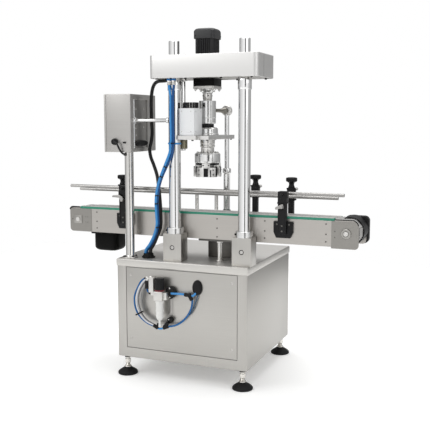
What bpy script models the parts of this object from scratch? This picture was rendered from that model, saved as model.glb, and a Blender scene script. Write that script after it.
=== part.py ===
# A bottle capping machine on a cabinet, with its conveyor, as separate pieces.
# Metres, +Z up, +Y to the back. The pieces are placed in the cabinet's frame, whose middle is
# X = Y = 0, and the empty "machine" moves them all so that the world origin lies on the floor
# under the middle of the whole box.
import math

import bmesh
import bpy
from mathutils import Matrix, Vector

for item in list(bpy.data.objects):
    bpy.data.objects.remove(item, do_unlink=True)

# ---- driving dimensions ----
seat_gap = 0.0003          # between pieces that rest on or in each other
running_gap = 0.0006       # round pieces that turn or slide
round_sides = 20           # on bars and bores; small pieces use small_sides
small_sides = 16

cabinet_width = 0.600
cabinet_depth = 0.590
cabinet_bottom = 0.084
cabinet_wall = 0.004
deck_top = 0.5195
deck_sheet = 0.0025
deck_lip = 0.032
deck_overhang = 0.003
panel_width = 0.512
panel_low = 0.129
panel_high = 0.4845
panel_sheet = 0.002
panel_gap = 0.001
panel_flange = 0.015
foot_inset = 0.030
foot_pad_radius = 0.040
foot_pad_height = 0.022
foot_stud_radius = 0.008

column_left_x = -0.045
column_right_x = 0.266
column_y = -0.2435
column_radius = 0.025
stub_radius = 0.0222
column_top = 1.436
block_width = 0.084
block_depth = 0.067
block_top = 0.638
neck_radius = 0.036
neck_height = 0.025
clamp_slit = 0.003

head_left = -0.142
head_right = 0.335
head_front = -0.287
head_bottom = 1.2844
head_top = 1.3785
head_sheet = 0.003
head_corner = 0.022
head_plate_thickness = 0.012
head_lift = 0.045          # how far the head can be raised on its columns
collar_radius = 0.028
collar_length = 0.049

spindle_x = 0.055
gearbox_size = 0.094
head_back_room = 0.009     # from the gearbox to the back of the head
gearbox_bottom = 1.2567
motor_size = 0.084
motor_top = 1.4515
motor_cap_size = 0.094
motor_cap_height = 0.0434
motor_fin_depth = 0.004
motor_fins_per_side = 5
flange_thickness = 0.012
cone_height = 0.018
coupling_radius = 0.020
shaft_radius = 0.011
sleeve_radius = 0.03625
sleeve_top = 1.1951
sleeve_bottom = 1.0985
hub_radius = 0.045
plate_top = 1.0498
plate_thickness = 0.0172
hub_height = 0.0323
spindle_neck = 0.0205
spindle_radius = 0.0315
chuck_radius = 0.055
chuck_top = 0.9751
chuck_bottom = 0.9317
jaw_count = 3
jaw_outer = 0.0595
jaw_inner = 0.040
jaw_half_angle = 51.0
jaw_bottom = 0.8731
jaw_key_width = 0.012
jaw_key_depth = 0.008

hanger_x = -0.0365
hanger_y = -0.180
hanger_radius = 0.0125
hanger_bottom = 0.985
hanger_top = 1.385
cylinder_left = -0.0132
cylinder_right = 0.0529
cylinder_front = -0.265
cylinder_back = -0.180
cylinder_top = 1.1619
cylinder_bore = 0.018
piston_rod_radius = 0.007

guide_x = 0.1025
guide_stand_off = 0.027     # from the conveyor's back to the guide bar's middle
guide_radius = 0.010
guide_sleeve_radius = 0.014
guide_sleeve_top = 0.903
arm_height = 1.1546

conveyor_left = -0.5905
conveyor_right = 0.7208
conveyor_front = -0.205
conveyor_width = 0.160
conveyor_bottom = 0.613
plate_edge = 0.7072
conveyor_sheet = 0.003
end_drop = 0.006
end_plate_length = 0.110
strip_top = 0.7195
strip_left = -0.547
strip_right = 0.631
strip_width = 0.022
roller_radius = 0.046
roller_z = 0.668
drive_x = -0.548
idler_x = 0.6785
axle_radius = 0.010
chain_thickness = 0.005
chain_width = 0.114

rail_radius = 0.007
rail_stem_radius = 0.005
rail_stem_reach = 0.0467     # from the conveyor's side plate to the stem's end
front_rail_offset = 0.0475  # from the middle of the chain
front_rail_z = 0.8165
front_rail_left = -0.6044
front_rail_right = 0.6623
rear_rail_offset = 0.0425
rear_rail_z = 0.7945
rear_rail_left = -0.6110
rear_rail_right = 0.6184
front_bracket_places = {"left": -0.3029, "right": 0.4228}
rear_bracket_places = {"left": -0.4135, "mid": 0.2416, "right": 0.4033}

pole_x = -0.2603
pole_y = -0.253
pole_radius = 0.019
box_left = -0.3612
box_right = -0.2330
box_front = -0.280
box_back = -0.058
box_bottom = 0.9775
box_top = 1.218
box_sheet = 0.003
door_thickness = 0.009
brace_z = 1.1125
brace_radius = 0.008

regulator_x = -0.0793
regulator_y = -0.330
regulator_radius = 0.020
regulator_top = 0.4568
regulator_split = 0.4006
bowl_top = 0.3608
bowl_bottom = 0.277
drain_bottom = 0.245
bowl_radius = 0.017

gland_x = -0.1893
gland_y = -0.224
gland_radius = 0.024
gland_height = 0.020
cable_radius = 0.007
air_hose_radius = 0.009

# ---- sizes that follow ----
conveyor_back = conveyor_front + conveyor_width
chain_middle = (conveyor_front + conveyor_back) / 2
spindle_y = chain_middle
guide_y = conveyor_back + guide_stand_off
front_rail_y = chain_middle - front_rail_offset
rear_rail_y = chain_middle + rear_rail_offset
head_back = spindle_y + gearbox_size / 2 + head_back_room
half_width = cabinet_width / 2
half_depth = cabinet_depth / 2
cabinet_top = deck_top - deck_sheet - seat_gap
chain_inner = roller_radius + seat_gap
chain_outer = chain_inner + chain_thickness
bed_top = roller_z + chain_inner - seat_gap
plate_bottom = plate_top - plate_thickness
head_plate_bottom = head_bottom + 0.003
head_plate_top = head_plate_bottom + head_plate_thickness
flange_bottom = gearbox_bottom - seat_gap - flange_thickness
cone_bottom = flange_bottom - cone_height
front_face = -half_depth
bracket_face = conveyor_front - seat_gap
rear_bracket_face = conveyor_back + seat_gap
door_face = box_left + door_thickness + seat_gap

left_end = rear_rail_left
right_end = idler_x + 0.0655
front_end = regulator_y - regulator_radius
back_end = half_depth - foot_inset + foot_pad_radius

# ---- finishes: colour, metallic, roughness ----
finishes = {
    "brushed steel": ((0.60, 0.585, 0.565), 1.0, 0.38),
    "satin cover": ((0.78, 0.775, 0.765), 0.6, 0.42),
    "chrome": ((0.75, 0.75, 0.75), 1.0, 0.12),
    "black paint": ((0.02, 0.02, 0.022), 0.0, 0.45),
    "black plastic": ((0.018, 0.018, 0.018), 0.0, 0.40),
    "rubber": ((0.02, 0.02, 0.02), 0.0, 0.75),
    "aluminium": ((0.72, 0.72, 0.72), 1.0, 0.30),
    "white enamel": ((0.85, 0.86, 0.87), 0.1, 0.35),
    "teal plastic": ((0.03, 0.38, 0.27), 0.0, 0.35),
    "grey plastic": ((0.60, 0.60, 0.58), 0.0, 0.45),
    "blue hose": ((0.02, 0.18, 0.60), 0.0, 0.25),
    "red plastic": ((0.60, 0.02, 0.02), 0.0, 0.30),
}


def finish(name):
    material = bpy.data.materials.get(name)
    if material is None:
        colour, metallic, roughness = finishes[name]
        material = bpy.data.materials.new(name)
        material.use_nodes = True
        shader = material.node_tree.nodes["Principled BSDF"]
        shader.inputs["Base Color"].default_value = (*colour, 1.0)
        shader.inputs["Metallic"].default_value = metallic
        shader.inputs["Roughness"].default_value = roughness
    return material


def collection(name):
    group = bpy.data.collections.new(name)
    bpy.context.scene.collection.children.link(group)
    return group


pieces = collection("capping_machine")
helpers = collection("cutters and joiners")
machine = bpy.data.objects.new("machine", None)
machine.location = (-(left_end + right_end) / 2, -(front_end + back_end) / 2, 0)
pieces.objects.link(machine)
bpy.context.view_layer.update()


# ---- ways of making a shape; every place is in the cabinet's frame ----
def new_object(name, shape, origin=(0, 0, 0), look=None, smooth=30):
    """One mesh object whose own origin is at the given place."""
    bmesh.ops.translate(shape, vec=-Vector(origin), verts=shape.verts)
    bmesh.ops.recalc_face_normals(shape, faces=shape.faces)
    mesh = bpy.data.meshes.new(name)
    shape.to_mesh(mesh)
    shape.free()
    if smooth:
        mesh.shade_smooth()
        mesh.set_sharp_from_angle(angle=math.radians(smooth))
    item = bpy.data.objects.new(name, mesh)
    item.location = origin
    item.parent = machine
    if look is None:
        item.hide_render = True
        item.display_type = "WIRE"
        helpers.objects.link(item)
    else:
        mesh.materials.append(finish(look))
        pieces.objects.link(item)
    return item


def box_shape(x, y, z):
    """A box between three pairs of limits."""
    shape = bmesh.new()
    bmesh.ops.create_cube(shape, size=1.0)
    size = Vector((x[1] - x[0], y[1] - y[0], z[1] - z[0]))
    middle = Vector((x[0] + x[1], y[0] + y[1], z[0] + z[1])) / 2
    bmesh.ops.scale(shape, vec=size, verts=shape.verts)
    bmesh.ops.translate(shape, vec=middle, verts=shape.verts)
    return shape


def rod_shape(start, end, radius, end_radius=None, sides=round_sides):
    """A round bar or cone from one point to another."""
    start = Vector(start)
    end = Vector(end)
    run = end - start
    last_radius = radius if end_radius is None else end_radius
    shape = bmesh.new()
    bmesh.ops.create_cone(shape, cap_ends=True, segments=sides, radius1=radius,
                          radius2=last_radius, depth=run.length)
    turn = Vector((0, 0, 1)).rotation_difference(run).to_matrix().to_4x4()
    bmesh.ops.transform(shape, matrix=Matrix.Translation((start + end) / 2) @ turn,
                        verts=shape.verts)
    return shape


def sheet_shape(loops, low, high, plane="XY"):
    """A flat outline, with any holes, made thick between two limits."""
    curve = bpy.data.curves.new("outline", "CURVE")
    curve.dimensions = "2D"
    curve.fill_mode = "BOTH"
    curve.extrude = (high - low) / 2
    for loop in loops:
        spline = curve.splines.new("POLY")
        spline.points.add(len(loop) - 1)
        for point, (u, v) in zip(spline.points, loop):
            point.co = (u, v, 0, 1)
        spline.use_cyclic_u = True
    carrier = bpy.data.objects.new("outline", curve)
    helpers.objects.link(carrier)
    bpy.context.view_layer.update()
    evaluated = carrier.evaluated_get(bpy.context.evaluated_depsgraph_get())
    mesh = bpy.data.meshes.new_from_object(evaluated)
    shape = bmesh.new()
    shape.from_mesh(mesh)
    bmesh.ops.remove_doubles(shape, verts=shape.verts, dist=0.000005)
    middle = (low + high) / 2
    for vert in shape.verts:
        u, v, w = vert.co
        if plane == "XY":
            vert.co = (u, v, w + middle)
        elif plane == "XZ":
            vert.co = (u, w + middle, v)
        else:
            vert.co = (w + middle, u, v)
    bpy.data.objects.remove(carrier, do_unlink=True)
    bpy.data.curves.remove(curve)
    bpy.data.meshes.remove(mesh)
    return shape


def tube_shape(points, radius, resolution=2):
    """A round tube along hand-chosen points, smoothed into one curve."""
    curve = bpy.data.curves.new("route", "CURVE")
    curve.dimensions = "3D"
    curve.bevel_depth = radius
    curve.bevel_resolution = resolution
    curve.use_fill_caps = True
    route = smooth_route(points, radius * 6)
    spline = curve.splines.new("POLY")
    spline.points.add(len(route) - 1)
    for point, place in zip(spline.points, route):
        point.co = (*place, 1)
    carrier = bpy.data.objects.new("route", curve)
    helpers.objects.link(carrier)
    bpy.context.view_layer.update()
    evaluated = carrier.evaluated_get(bpy.context.evaluated_depsgraph_get())
    mesh = bpy.data.meshes.new_from_object(evaluated)
    shape = bmesh.new()
    shape.from_mesh(mesh)
    bmesh.ops.remove_doubles(shape, verts=shape.verts, dist=0.000005)
    bpy.data.objects.remove(carrier, do_unlink=True)
    bpy.data.curves.remove(curve)
    bpy.data.meshes.remove(mesh)
    return shape


def smooth_route(points, step):
    """Points about one step apart on the Catmull-Rom curve through the given ones."""
    knots = [Vector(point) for point in points]
    knots = [2 * knots[0] - knots[1]] + knots + [2 * knots[-1] - knots[-2]]
    route = [knots[1]]
    for a, b, c, d in zip(knots, knots[1:], knots[2:], knots[3:]):
        count = max(2, round((c - b).length / step))
        for index in range(1, count + 1):
            t = index / count
            route.append((2 * b + (c - a) * t + (2 * a - 5 * b + 4 * c - d) * t * t
                          + (3 * b - a - 3 * c + d) * t ** 3) / 2)
    return route


def turned(name, profile, centre, look=None, sides=round_sides, closed=False):
    """A turned piece: (radius, height) pairs, down the outside and, if closed, up the bore."""
    mesh = bpy.data.meshes.new(name)
    shape = bmesh.new()
    verts = [shape.verts.new((radius, 0, height - centre[2])) for radius, height in profile]
    for first, second in zip(verts, verts[1:]):
        shape.edges.new((first, second))
    if closed:
        shape.edges.new((verts[-1], verts[0]))
    shape.to_mesh(mesh)
    shape.free()
    item = bpy.data.objects.new(name, mesh)
    item.location = centre
    item.parent = machine
    spin = item.modifiers.new("turn", "SCREW")
    spin.axis = "Z"
    spin.angle = math.tau
    spin.screw_offset = 0
    spin.steps = sides
    spin.render_steps = sides
    spin.use_merge_vertices = True
    spin.merge_threshold = 0.00001
    if look is None:
        item.hide_render = True
        item.display_type = "WIRE"
        helpers.objects.link(item)
    else:
        mesh.materials.append(finish(look))
        pieces.objects.link(item)
    return item


def change(piece, kind, shapes):
    for number, shape in enumerate(shapes):
        tool = shape
        if isinstance(shape, bmesh.types.BMesh):
            tool = new_object(f"{piece.name} {kind.lower()} {number}", shape)
        step = piece.modifiers.new(f"{kind.lower()} {number}", "BOOLEAN")
        step.operation = kind
        step.solver = "EXACT"
        step.object = tool
    return piece


def join(piece, *shapes):
    return change(piece, "UNION", shapes)


def cut(piece, *shapes):
    return change(piece, "DIFFERENCE", shapes)


def rounded(x, y, radius, steps=3):
    """A rectangle's outline with round corners."""
    outline = []
    corners = ((x[1], y[1], 0), (x[0], y[1], 90), (x[0], y[0], 180), (x[1], y[0], 270))
    for cx, cy, turn in corners:
        middle_x = cx - radius if turn in (0, 270) else cx + radius
        middle_y = cy - radius if turn in (0, 90) else cy + radius
        for index in range(steps + 1):
            angle = math.radians(turn + 90 * index / steps)
            outline.append((middle_x + radius * math.cos(angle), middle_y + radius * math.sin(angle)))
    return outline


def around(x, half):
    return (x - half, x + half)


def shell_of(name, shape, open_side, sheet, look):
    """A box left open on one side and given a sheet's thickness inwards."""
    side = Vector(open_side)
    doomed = [face for face in shape.faces if face.normal.dot(side) > 0.99]
    bmesh.ops.delete(shape, geom=doomed, context="FACES_ONLY")
    item = new_object(name, shape, look=look)
    skin = item.modifiers.new("sheet", "SOLIDIFY")
    skin.thickness = sheet
    skin.offset = -1
    skin.use_even_offset = True
    return item


# ---- cabinet ----
def make_cabinet():
    body_shape = box_shape((-half_width, half_width), (-half_depth, half_depth),
                           (cabinet_bottom, cabinet_top))
    body = shell_of("cabinet_body", body_shape, (0, 0, 1), cabinet_wall, "brushed steel")
    half_panel = panel_width / 2
    seat = box_shape(around(0, half_panel + panel_gap),
                     (front_face - 0.01, front_face + panel_sheet + seat_gap),
                     (panel_low - panel_gap, panel_high + panel_gap))
    window = box_shape(around(0, half_panel - panel_flange), (front_face - 0.01, front_face + 0.02),
                       (panel_low + panel_flange, panel_high - panel_flange))
    stud_holes = [rod_shape((x, y, cabinet_bottom - 0.01), (x, y, cabinet_bottom + 0.02),
                            foot_stud_radius + seat_gap, sides=small_sides)
                  for x, y in foot_places()]
    cut(body, seat, window, *stud_holes)
    new_object("front_panel", box_shape(around(0, half_panel), (front_face, front_face + panel_sheet),
                                        (panel_low, panel_high)), look="brushed steel")


def foot_places():
    return [(side * (half_width - foot_inset), end * (half_depth - foot_inset))
            for end in (-1, 1) for side in (-1, 1)]


def make_feet():
    names = ("foot_front_left", "foot_front_right", "foot_rear_left", "foot_rear_right")
    nut_top = cabinet_bottom - seat_gap
    for name, (x, y) in zip(names, foot_places()):
        profile = [(0, cabinet_bottom + 0.03), (foot_stud_radius, cabinet_bottom + 0.03),
                   (foot_stud_radius, nut_top), (0.014, nut_top), (0.014, nut_top - 0.010),
                   (foot_stud_radius, nut_top - 0.010), (foot_stud_radius, foot_pad_height + 0.008),
                   (0.014, foot_pad_height), (0.026, foot_pad_height - 0.003),
                   (foot_pad_radius - 0.003, 0.010), (foot_pad_radius, 0.005), (foot_pad_radius, 0),
                   (0, 0)]
        turned(name, profile, (x, y, 0), "rubber", sides=small_sides)


def make_deck():
    deck_x = around(0, half_width + deck_overhang)
    deck_y = around(0, half_depth + deck_overhang)
    lid = shell_of("deck_plate", box_shape(deck_x, deck_y, (deck_top - deck_lip, deck_top)),
                   (0, 0, -1), deck_sheet, "brushed steel")
    join(lid, rod_shape((gland_x, gland_y, deck_top - deck_sheet / 2),
                        (gland_x, gland_y, deck_top + gland_height), gland_radius, sides=small_sides))


# ---- columns and their blocks ----
def make_columns():
    for side, x in (("left", column_left_x), ("right", column_right_x)):
        low = deck_top + seat_gap
        block = new_object(f"column_block_{side}",
                           box_shape(around(x, block_width / 2), around(column_y, block_depth / 2),
                                     (low, block_top)), look="brushed steel")
        neck_top = block_top + neck_height
        join(block, rod_shape((x, column_y, block_top - 0.01), (x, column_y, neck_top), neck_radius))
        bore = rod_shape((x, column_y, low - 0.01), (x, column_y, neck_top + 0.01),
                         column_radius + seat_gap)
        slit = box_shape((x - neck_radius - 0.01, x), around(column_y, clamp_slit / 2),
                         (block_top, neck_top + 0.01))
        screw = rod_shape((x, column_y - block_depth / 2 - 0.01, (low + block_top) / 2),
                          (x, column_y - block_depth / 2 + 0.006, (low + block_top) / 2), 0.0105,
                          sides=small_sides)
        cut(block, bore, slit, screw)
        step = head_plate_top + head_lift + 0.0015
        profile = [(0, column_top), (stub_radius - 0.002, column_top), (stub_radius, column_top - 0.002),
                   (stub_radius, step), (column_radius, step), (column_radius, low), (0, low)]
        turned(f"column_{side}", profile, (x, column_y, low), "chrome")


# ---- head, raised and lowered on the columns ----
def make_head():
    cover_shape = box_shape((head_left, head_right), (head_front, head_back), (head_bottom, head_top))
    upright = [edge for edge in cover_shape.edges
               if abs(edge.verts[0].co.z - edge.verts[1].co.z) > 0.01]
    bmesh.ops.bevel(cover_shape, geom=upright, offset=head_corner, segments=4, profile=0.5,
                    affect="EDGES")
    cover = shell_of("head_cover", cover_shape, (0, 0, -1), head_sheet, "satin cover")
    over = head_top + 0.01
    under = head_top - 0.02
    cut(cover,
        rod_shape((column_left_x, column_y, under), (column_left_x, column_y, over),
                  stub_radius + running_gap),
        rod_shape((column_right_x, column_y, under), (column_right_x, column_y, over),
                  stub_radius + running_gap),
        rod_shape((hanger_x, hanger_y, under), (hanger_x, hanger_y, over),
                  hanger_radius + seat_gap, sides=small_sides),
        box_shape(around(spindle_x, motor_cap_size / 2 + 0.002),
                  around(spindle_y, motor_cap_size / 2 - 0.0015), (under, over)))
    inset = head_sheet + seat_gap
    outline = rounded((head_left + inset, head_right - inset), (head_front + inset, head_back - inset),
                      head_corner - head_sheet)
    plate = new_object("head_plate", sheet_shape([outline], head_plate_bottom, head_plate_top),
                       look="brushed steel")
    collars = [rod_shape((x, column_y, head_bottom - collar_length),
                         (x, column_y, head_plate_bottom + 0.002), collar_radius)
               for x in (column_left_x, column_right_x)]
    fittings = [rod_shape((x, head_front + 0.013, head_bottom - 0.042),
                          (x, head_front + 0.013, head_plate_bottom + 0.002), 0.009, sides=12)
                for x in (column_left_x - 0.0195, column_left_x + 0.002)]
    bores = [rod_shape((x, column_y, head_bottom - 0.10), (x, column_y, head_top),
                       column_radius + seat_gap) for x in (column_left_x, column_right_x)]
    join(plate, *collars, *fittings)
    cut(plate, *bores,
        rod_shape((hanger_x, hanger_y, head_bottom - 0.05), (hanger_x, hanger_y, head_top),
                  hanger_radius + seat_gap, sides=small_sides),
        box_shape(around(spindle_x, gearbox_size / 2 + seat_gap),
                  around(spindle_y, gearbox_size / 2 + seat_gap), (head_bottom - 0.01, head_top)))
    flange_z = head_plate_bottom - seat_gap
    profile = [(0, hanger_top), (hanger_radius, hanger_top), (hanger_radius, flange_z), (0.018, flange_z),
               (0.018, flange_z - 0.010), (hanger_radius, flange_z - 0.010),
               (hanger_radius, hanger_bottom), (0, hanger_bottom)]
    turned("hanger_rod", profile, (hanger_x, hanger_y, hanger_bottom), "chrome", sides=small_sides)


def finned_outline():
    """The motor housing's section: flat corners and a comb of fins on each side."""
    half = motor_size / 2
    corner = 0.012
    side = []
    pitch = (2 * half - 2 * corner) / (2 * motor_fins_per_side + 1)
    place = -half + corner
    for index in range(motor_fins_per_side):
        side += [(half, place + pitch), (half - motor_fin_depth, place + pitch),
                 (half - motor_fin_depth, place + 2 * pitch), (half, place + 2 * pitch)]
        place += 2 * pitch
    side = [(half, -half + corner)] + side + [(half, half - corner)]
    outline = []
    for quarter in range(4):
        angle = quarter * math.pi / 2
        for x, y in side:
            outline.append((spindle_x + x * math.cos(angle) - y * math.sin(angle),
                            spindle_y + x * math.sin(angle) + y * math.cos(angle)))
    return outline


def make_drive():
    half = gearbox_size / 2
    rim = 0.010
    shoulder = head_plate_top + seat_gap
    gearmotor = new_object("head_gearmotor",
                           box_shape(around(spindle_x, half), around(spindle_y, half),
                                     (gearbox_bottom, shoulder + 0.020)), look="black paint")
    rim_back = half + head_back_room - head_sheet - 0.001
    cap = motor_cap_size / 2
    cap_outline = rounded(around(spindle_x, cap), around(spindle_y, cap), 0.016, steps=3)
    cap_slope = rod_shape((spindle_x, spindle_y, motor_top + motor_cap_height - 0.020),
                          (spindle_x, spindle_y, motor_top + motor_cap_height), cap * 1.40, cap * 1.16)
    cap_piece = new_object("motor cap", sheet_shape([cap_outline], motor_top,
                                                    motor_top + motor_cap_height))
    keep = cap_piece.modifiers.new("slope", "BOOLEAN")
    keep.operation = "INTERSECT"
    keep.solver = "EXACT"
    sleeve = new_object("motor cap envelope", cap_slope)
    join(sleeve, rod_shape((spindle_x, spindle_y, motor_top - 0.01),
                           (spindle_x, spindle_y, motor_top + motor_cap_height - 0.0195), cap * 1.40))
    keep.object = sleeve
    join(gearmotor,
         box_shape(around(spindle_x, half + rim), (spindle_y - half - rim, spindle_y + rim_back),
                   (shoulder, shoulder + rim)),
         sheet_shape([finned_outline()], shoulder + 0.018, motor_top + 0.002),
         cap_piece)
    flange = new_object("gearbox_flange",
                        sheet_shape([rounded(around(spindle_x, half + 0.001),
                                             around(spindle_y, half + 0.001), 0.008, steps=2)],
                                    flange_bottom, gearbox_bottom - seat_gap), look="aluminium")
    join(flange, rod_shape((spindle_x, spindle_y, cone_bottom),
                           (spindle_x, spindle_y, flange_bottom + 0.002), 0.022, 0.036))
    cut(flange, rod_shape((spindle_x, spindle_y, cone_bottom - 0.01),
                          (spindle_x, spindle_y, gearbox_bottom + 0.01), 0.0125 + seat_gap,
                          sides=small_sides))
    shoulder_z = cone_bottom - seat_gap
    profile = [(0, gearbox_bottom - 2 * seat_gap), (0.0125, gearbox_bottom - 2 * seat_gap),
               (0.0125, shoulder_z), (coupling_radius, shoulder_z),
               (coupling_radius, sleeve_top + seat_gap), (shaft_radius, sleeve_top + seat_gap),
               (shaft_radius, 1.020), (0, 1.020)]
    turned("drive_shaft", profile, (spindle_x, spindle_y, 1.020), "chrome", sides=small_sides)


# ---- pressing cylinder and the carriage that it pushes down ----
def make_cylinder():
    low = plate_top + seat_gap
    body = new_object("press_cylinder",
                      box_shape((cylinder_left, cylinder_right), (cylinder_front, cylinder_back),
                                (low, cylinder_top)), look="white enamel")
    middle_x = (cylinder_left + cylinder_right) / 2
    middle_y = (cylinder_front + cylinder_back) / 2
    join(body,
         rod_shape((middle_x, middle_y, cylinder_top - 0.002),
                   (middle_x, middle_y, cylinder_top + 0.0237), 0.0315),
         box_shape((hanger_x - 0.0215, cylinder_left + 0.002), around(hanger_y + 0.001, 0.0245),
                   (1.085, 1.150)))
    cut(body,
        rod_shape((hanger_x, hanger_y, 1.05), (hanger_x, hanger_y, 1.20), hanger_radius + seat_gap,
                  sides=small_sides),
        rod_shape((middle_x, middle_y, low - 0.01), (middle_x, middle_y, cylinder_top - 0.010),
                  cylinder_bore, sides=small_sides))
    piston = cylinder_bore - running_gap
    profile = [(0, 1.125), (piston, 1.125), (piston, 1.112), (piston_rod_radius, 1.112),
               (piston_rod_radius, low), (0, low)]
    turned("press_piston", profile, (middle_x, middle_y, low), "chrome", sides=small_sides)


def make_carriage():
    notch_x = column_left_x + column_radius + 2 * running_gap
    notch_y = column_y + column_radius + 0.0045
    outline = [(notch_x, -0.270), (0.062, -0.270), (0.062, -0.243), (0.1076, -0.243),
               (0.112, -0.150), (0.130, -0.060), (0.130, 0.004), (0.080, 0.004), (0.050, -0.060),
               (-0.058, -0.150), (-0.058, notch_y), (notch_x, notch_y)]
    plate = new_object("carriage_plate", sheet_shape([outline], plate_bottom, plate_top),
                       look="aluminium")
    join(plate, rod_shape((hanger_x, hanger_y, plate_bottom - 0.040),
                          (hanger_x, hanger_y, plate_top + 0.030), 0.020, sides=small_sides))
    cut(plate,
        rod_shape((hanger_x, hanger_y, 0.90), (hanger_x, hanger_y, 1.20),
                  hanger_radius + running_gap, sides=small_sides),
        rod_shape((spindle_x, spindle_y, 0.90), (spindle_x, spindle_y, 1.20),
                  spindle_neck + running_gap),
        rod_shape((guide_x, guide_y, 0.90), (guide_x, guide_y, 1.20), guide_radius + seat_gap,
                  sides=small_sides))
    low = plate_top + seat_gap
    bore = spindle_neck + running_gap
    profile = [(bore, low + hub_height), (hub_radius - 0.006, low + hub_height),
               (hub_radius, low + hub_height - 0.006), (hub_radius, low), (bore, low)]
    turned("bearing_hub", profile, (spindle_x, spindle_y, low), "aluminium", closed=True)
    make_union()
    neck_top = sleeve_bottom - seat_gap
    bore = shaft_radius + running_gap
    shoulder = plate_bottom - seat_gap
    bottom = chuck_top + seat_gap
    profile = [(0, 1.000), (bore, 1.000), (bore, neck_top), (spindle_neck, neck_top),
               (spindle_neck, shoulder), (spindle_radius, shoulder), (spindle_radius, 1.000),
               (spindle_radius - 0.003, 0.998), (spindle_radius - 0.003, bottom), (0, bottom)]
    turned("spindle", profile, (spindle_x, spindle_y, bottom), "chrome")


def make_union():
    bore = shaft_radius + running_gap
    profile = [(bore, sleeve_top), (sleeve_radius, sleeve_top), (sleeve_radius, sleeve_bottom),
               (bore, sleeve_bottom)]
    sleeve = turned("rotary_union", profile, (spindle_x, spindle_y, sleeve_bottom), "aluminium",
                    closed=True)
    centre = Vector((spindle_x, spindle_y, arm_height))
    post = Vector((guide_x, guide_y, arm_height))
    toward = (post - centre).normalized()
    join(sleeve,
         rod_shape(centre + toward * (sleeve_radius - 0.004), post, 0.008, sides=small_sides),
         rod_shape(post - toward * 0.040, post - toward * 0.006, 0.009, 0.015, sides=small_sides),
         rod_shape(post + Vector((0, -0.010, 0)), post + Vector((0, 0.010, 0)), 0.024, sides=small_sides),
         rod_shape((guide_x, guide_y, 0.790), post, guide_radius, sides=small_sides))


def make_chuck():
    centre = (spindle_x, spindle_y, chuck_bottom)
    profile = [(0, chuck_top), (chuck_radius - 0.0015, chuck_top), (chuck_radius, chuck_top - 0.0015),
               (chuck_radius, chuck_bottom), (0, chuck_bottom)]
    body = turned("chuck_body", profile, centre, "aluminium", sides=32)
    slots = []
    key_half = jaw_key_width / 2
    for number in range(jaw_count):
        angle = math.radians(-75 + 360 * number / jaw_count)
        slot = box_shape((0.010, chuck_radius + 0.01), around(0, key_half + seat_gap),
                         (chuck_bottom - 0.01, chuck_bottom + jaw_key_depth))
        slots.append(turn_and_place(slot, angle))
        make_jaw(number + 1, angle)
    cut(body, *slots)


def turn_and_place(shape, angle):
    move = Matrix.Translation((spindle_x, spindle_y, 0)) @ Matrix.Rotation(angle, 4, "Z")
    bmesh.ops.transform(shape, matrix=move, verts=shape.verts)
    return shape


def make_jaw(number, angle):
    """One gripper jaw: a segment with a pad pocket, on a block with a key in the chuck's slot."""
    steps = 8
    outer = []
    inner = []
    for index in range(steps + 1):
        turn = math.radians(jaw_half_angle * (2 * index / steps - 1))
        outer.append((jaw_outer * math.cos(turn), jaw_outer * math.sin(turn)))
        inner.append((jaw_inner * math.cos(turn), jaw_inner * math.sin(turn)))
    segment_top = chuck_bottom - 0.018
    ring = turn_and_place(sheet_shape([outer + inner[::-1]], jaw_bottom, segment_top), angle)
    jaw = new_object(f"jaw_{number}", ring, origin=(spindle_x, spindle_y, chuck_bottom),
                     look="aluminium")
    stem = box_shape((0.022, jaw_outer - 0.004), around(0, 0.017),
                     (segment_top - 0.004, chuck_bottom - seat_gap))
    key = box_shape((0.020, 0.053), around(0, jaw_key_width / 2),
                    (chuck_bottom - 0.003, chuck_bottom + jaw_key_depth - seat_gap))
    pocket = box_shape((jaw_outer - 0.012, jaw_outer + 0.01), around(0, 0.011),
                       (jaw_bottom - 0.01, segment_top - 0.006))
    join(jaw, turn_and_place(stem, angle), turn_and_place(key, angle))
    cut(jaw, turn_and_place(pocket, angle))


# ---- conveyor ----
def plate_outline():
    """A conveyor side: raised ends round the rollers and a lower right end plate."""
    end_top = bed_top
    low = conveyor_bottom
    drop = low - end_drop
    step = conveyor_right - end_plate_length
    corner = 0.016
    outline = [(strip_left - 0.001, plate_edge), (strip_left - 0.001, end_top)]
    for cx, cz, start in ((conveyor_left + corner, end_top - corner, 90),
                          (conveyor_left + corner, low + corner, 180)):
        outline += arc_points(cx, cz, corner, start)
    outline += [(step, low), (step, drop)]
    for cx, cz, start in ((conveyor_right - corner, drop + corner, 270),
                          (conveyor_right - corner, end_top - corner, 0)):
        outline += arc_points(cx, cz, corner, start)
    outline += [(strip_right + 0.001, end_top), (strip_right + 0.001, plate_edge)]
    return outline


def arc_points(cx, cz, radius, start, steps=3):
    points = []
    for index in range(steps + 1):
        angle = math.radians(start + 90 * index / steps)
        points.append((cx + radius * math.cos(angle), cz + radius * math.sin(angle)))
    return points


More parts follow.
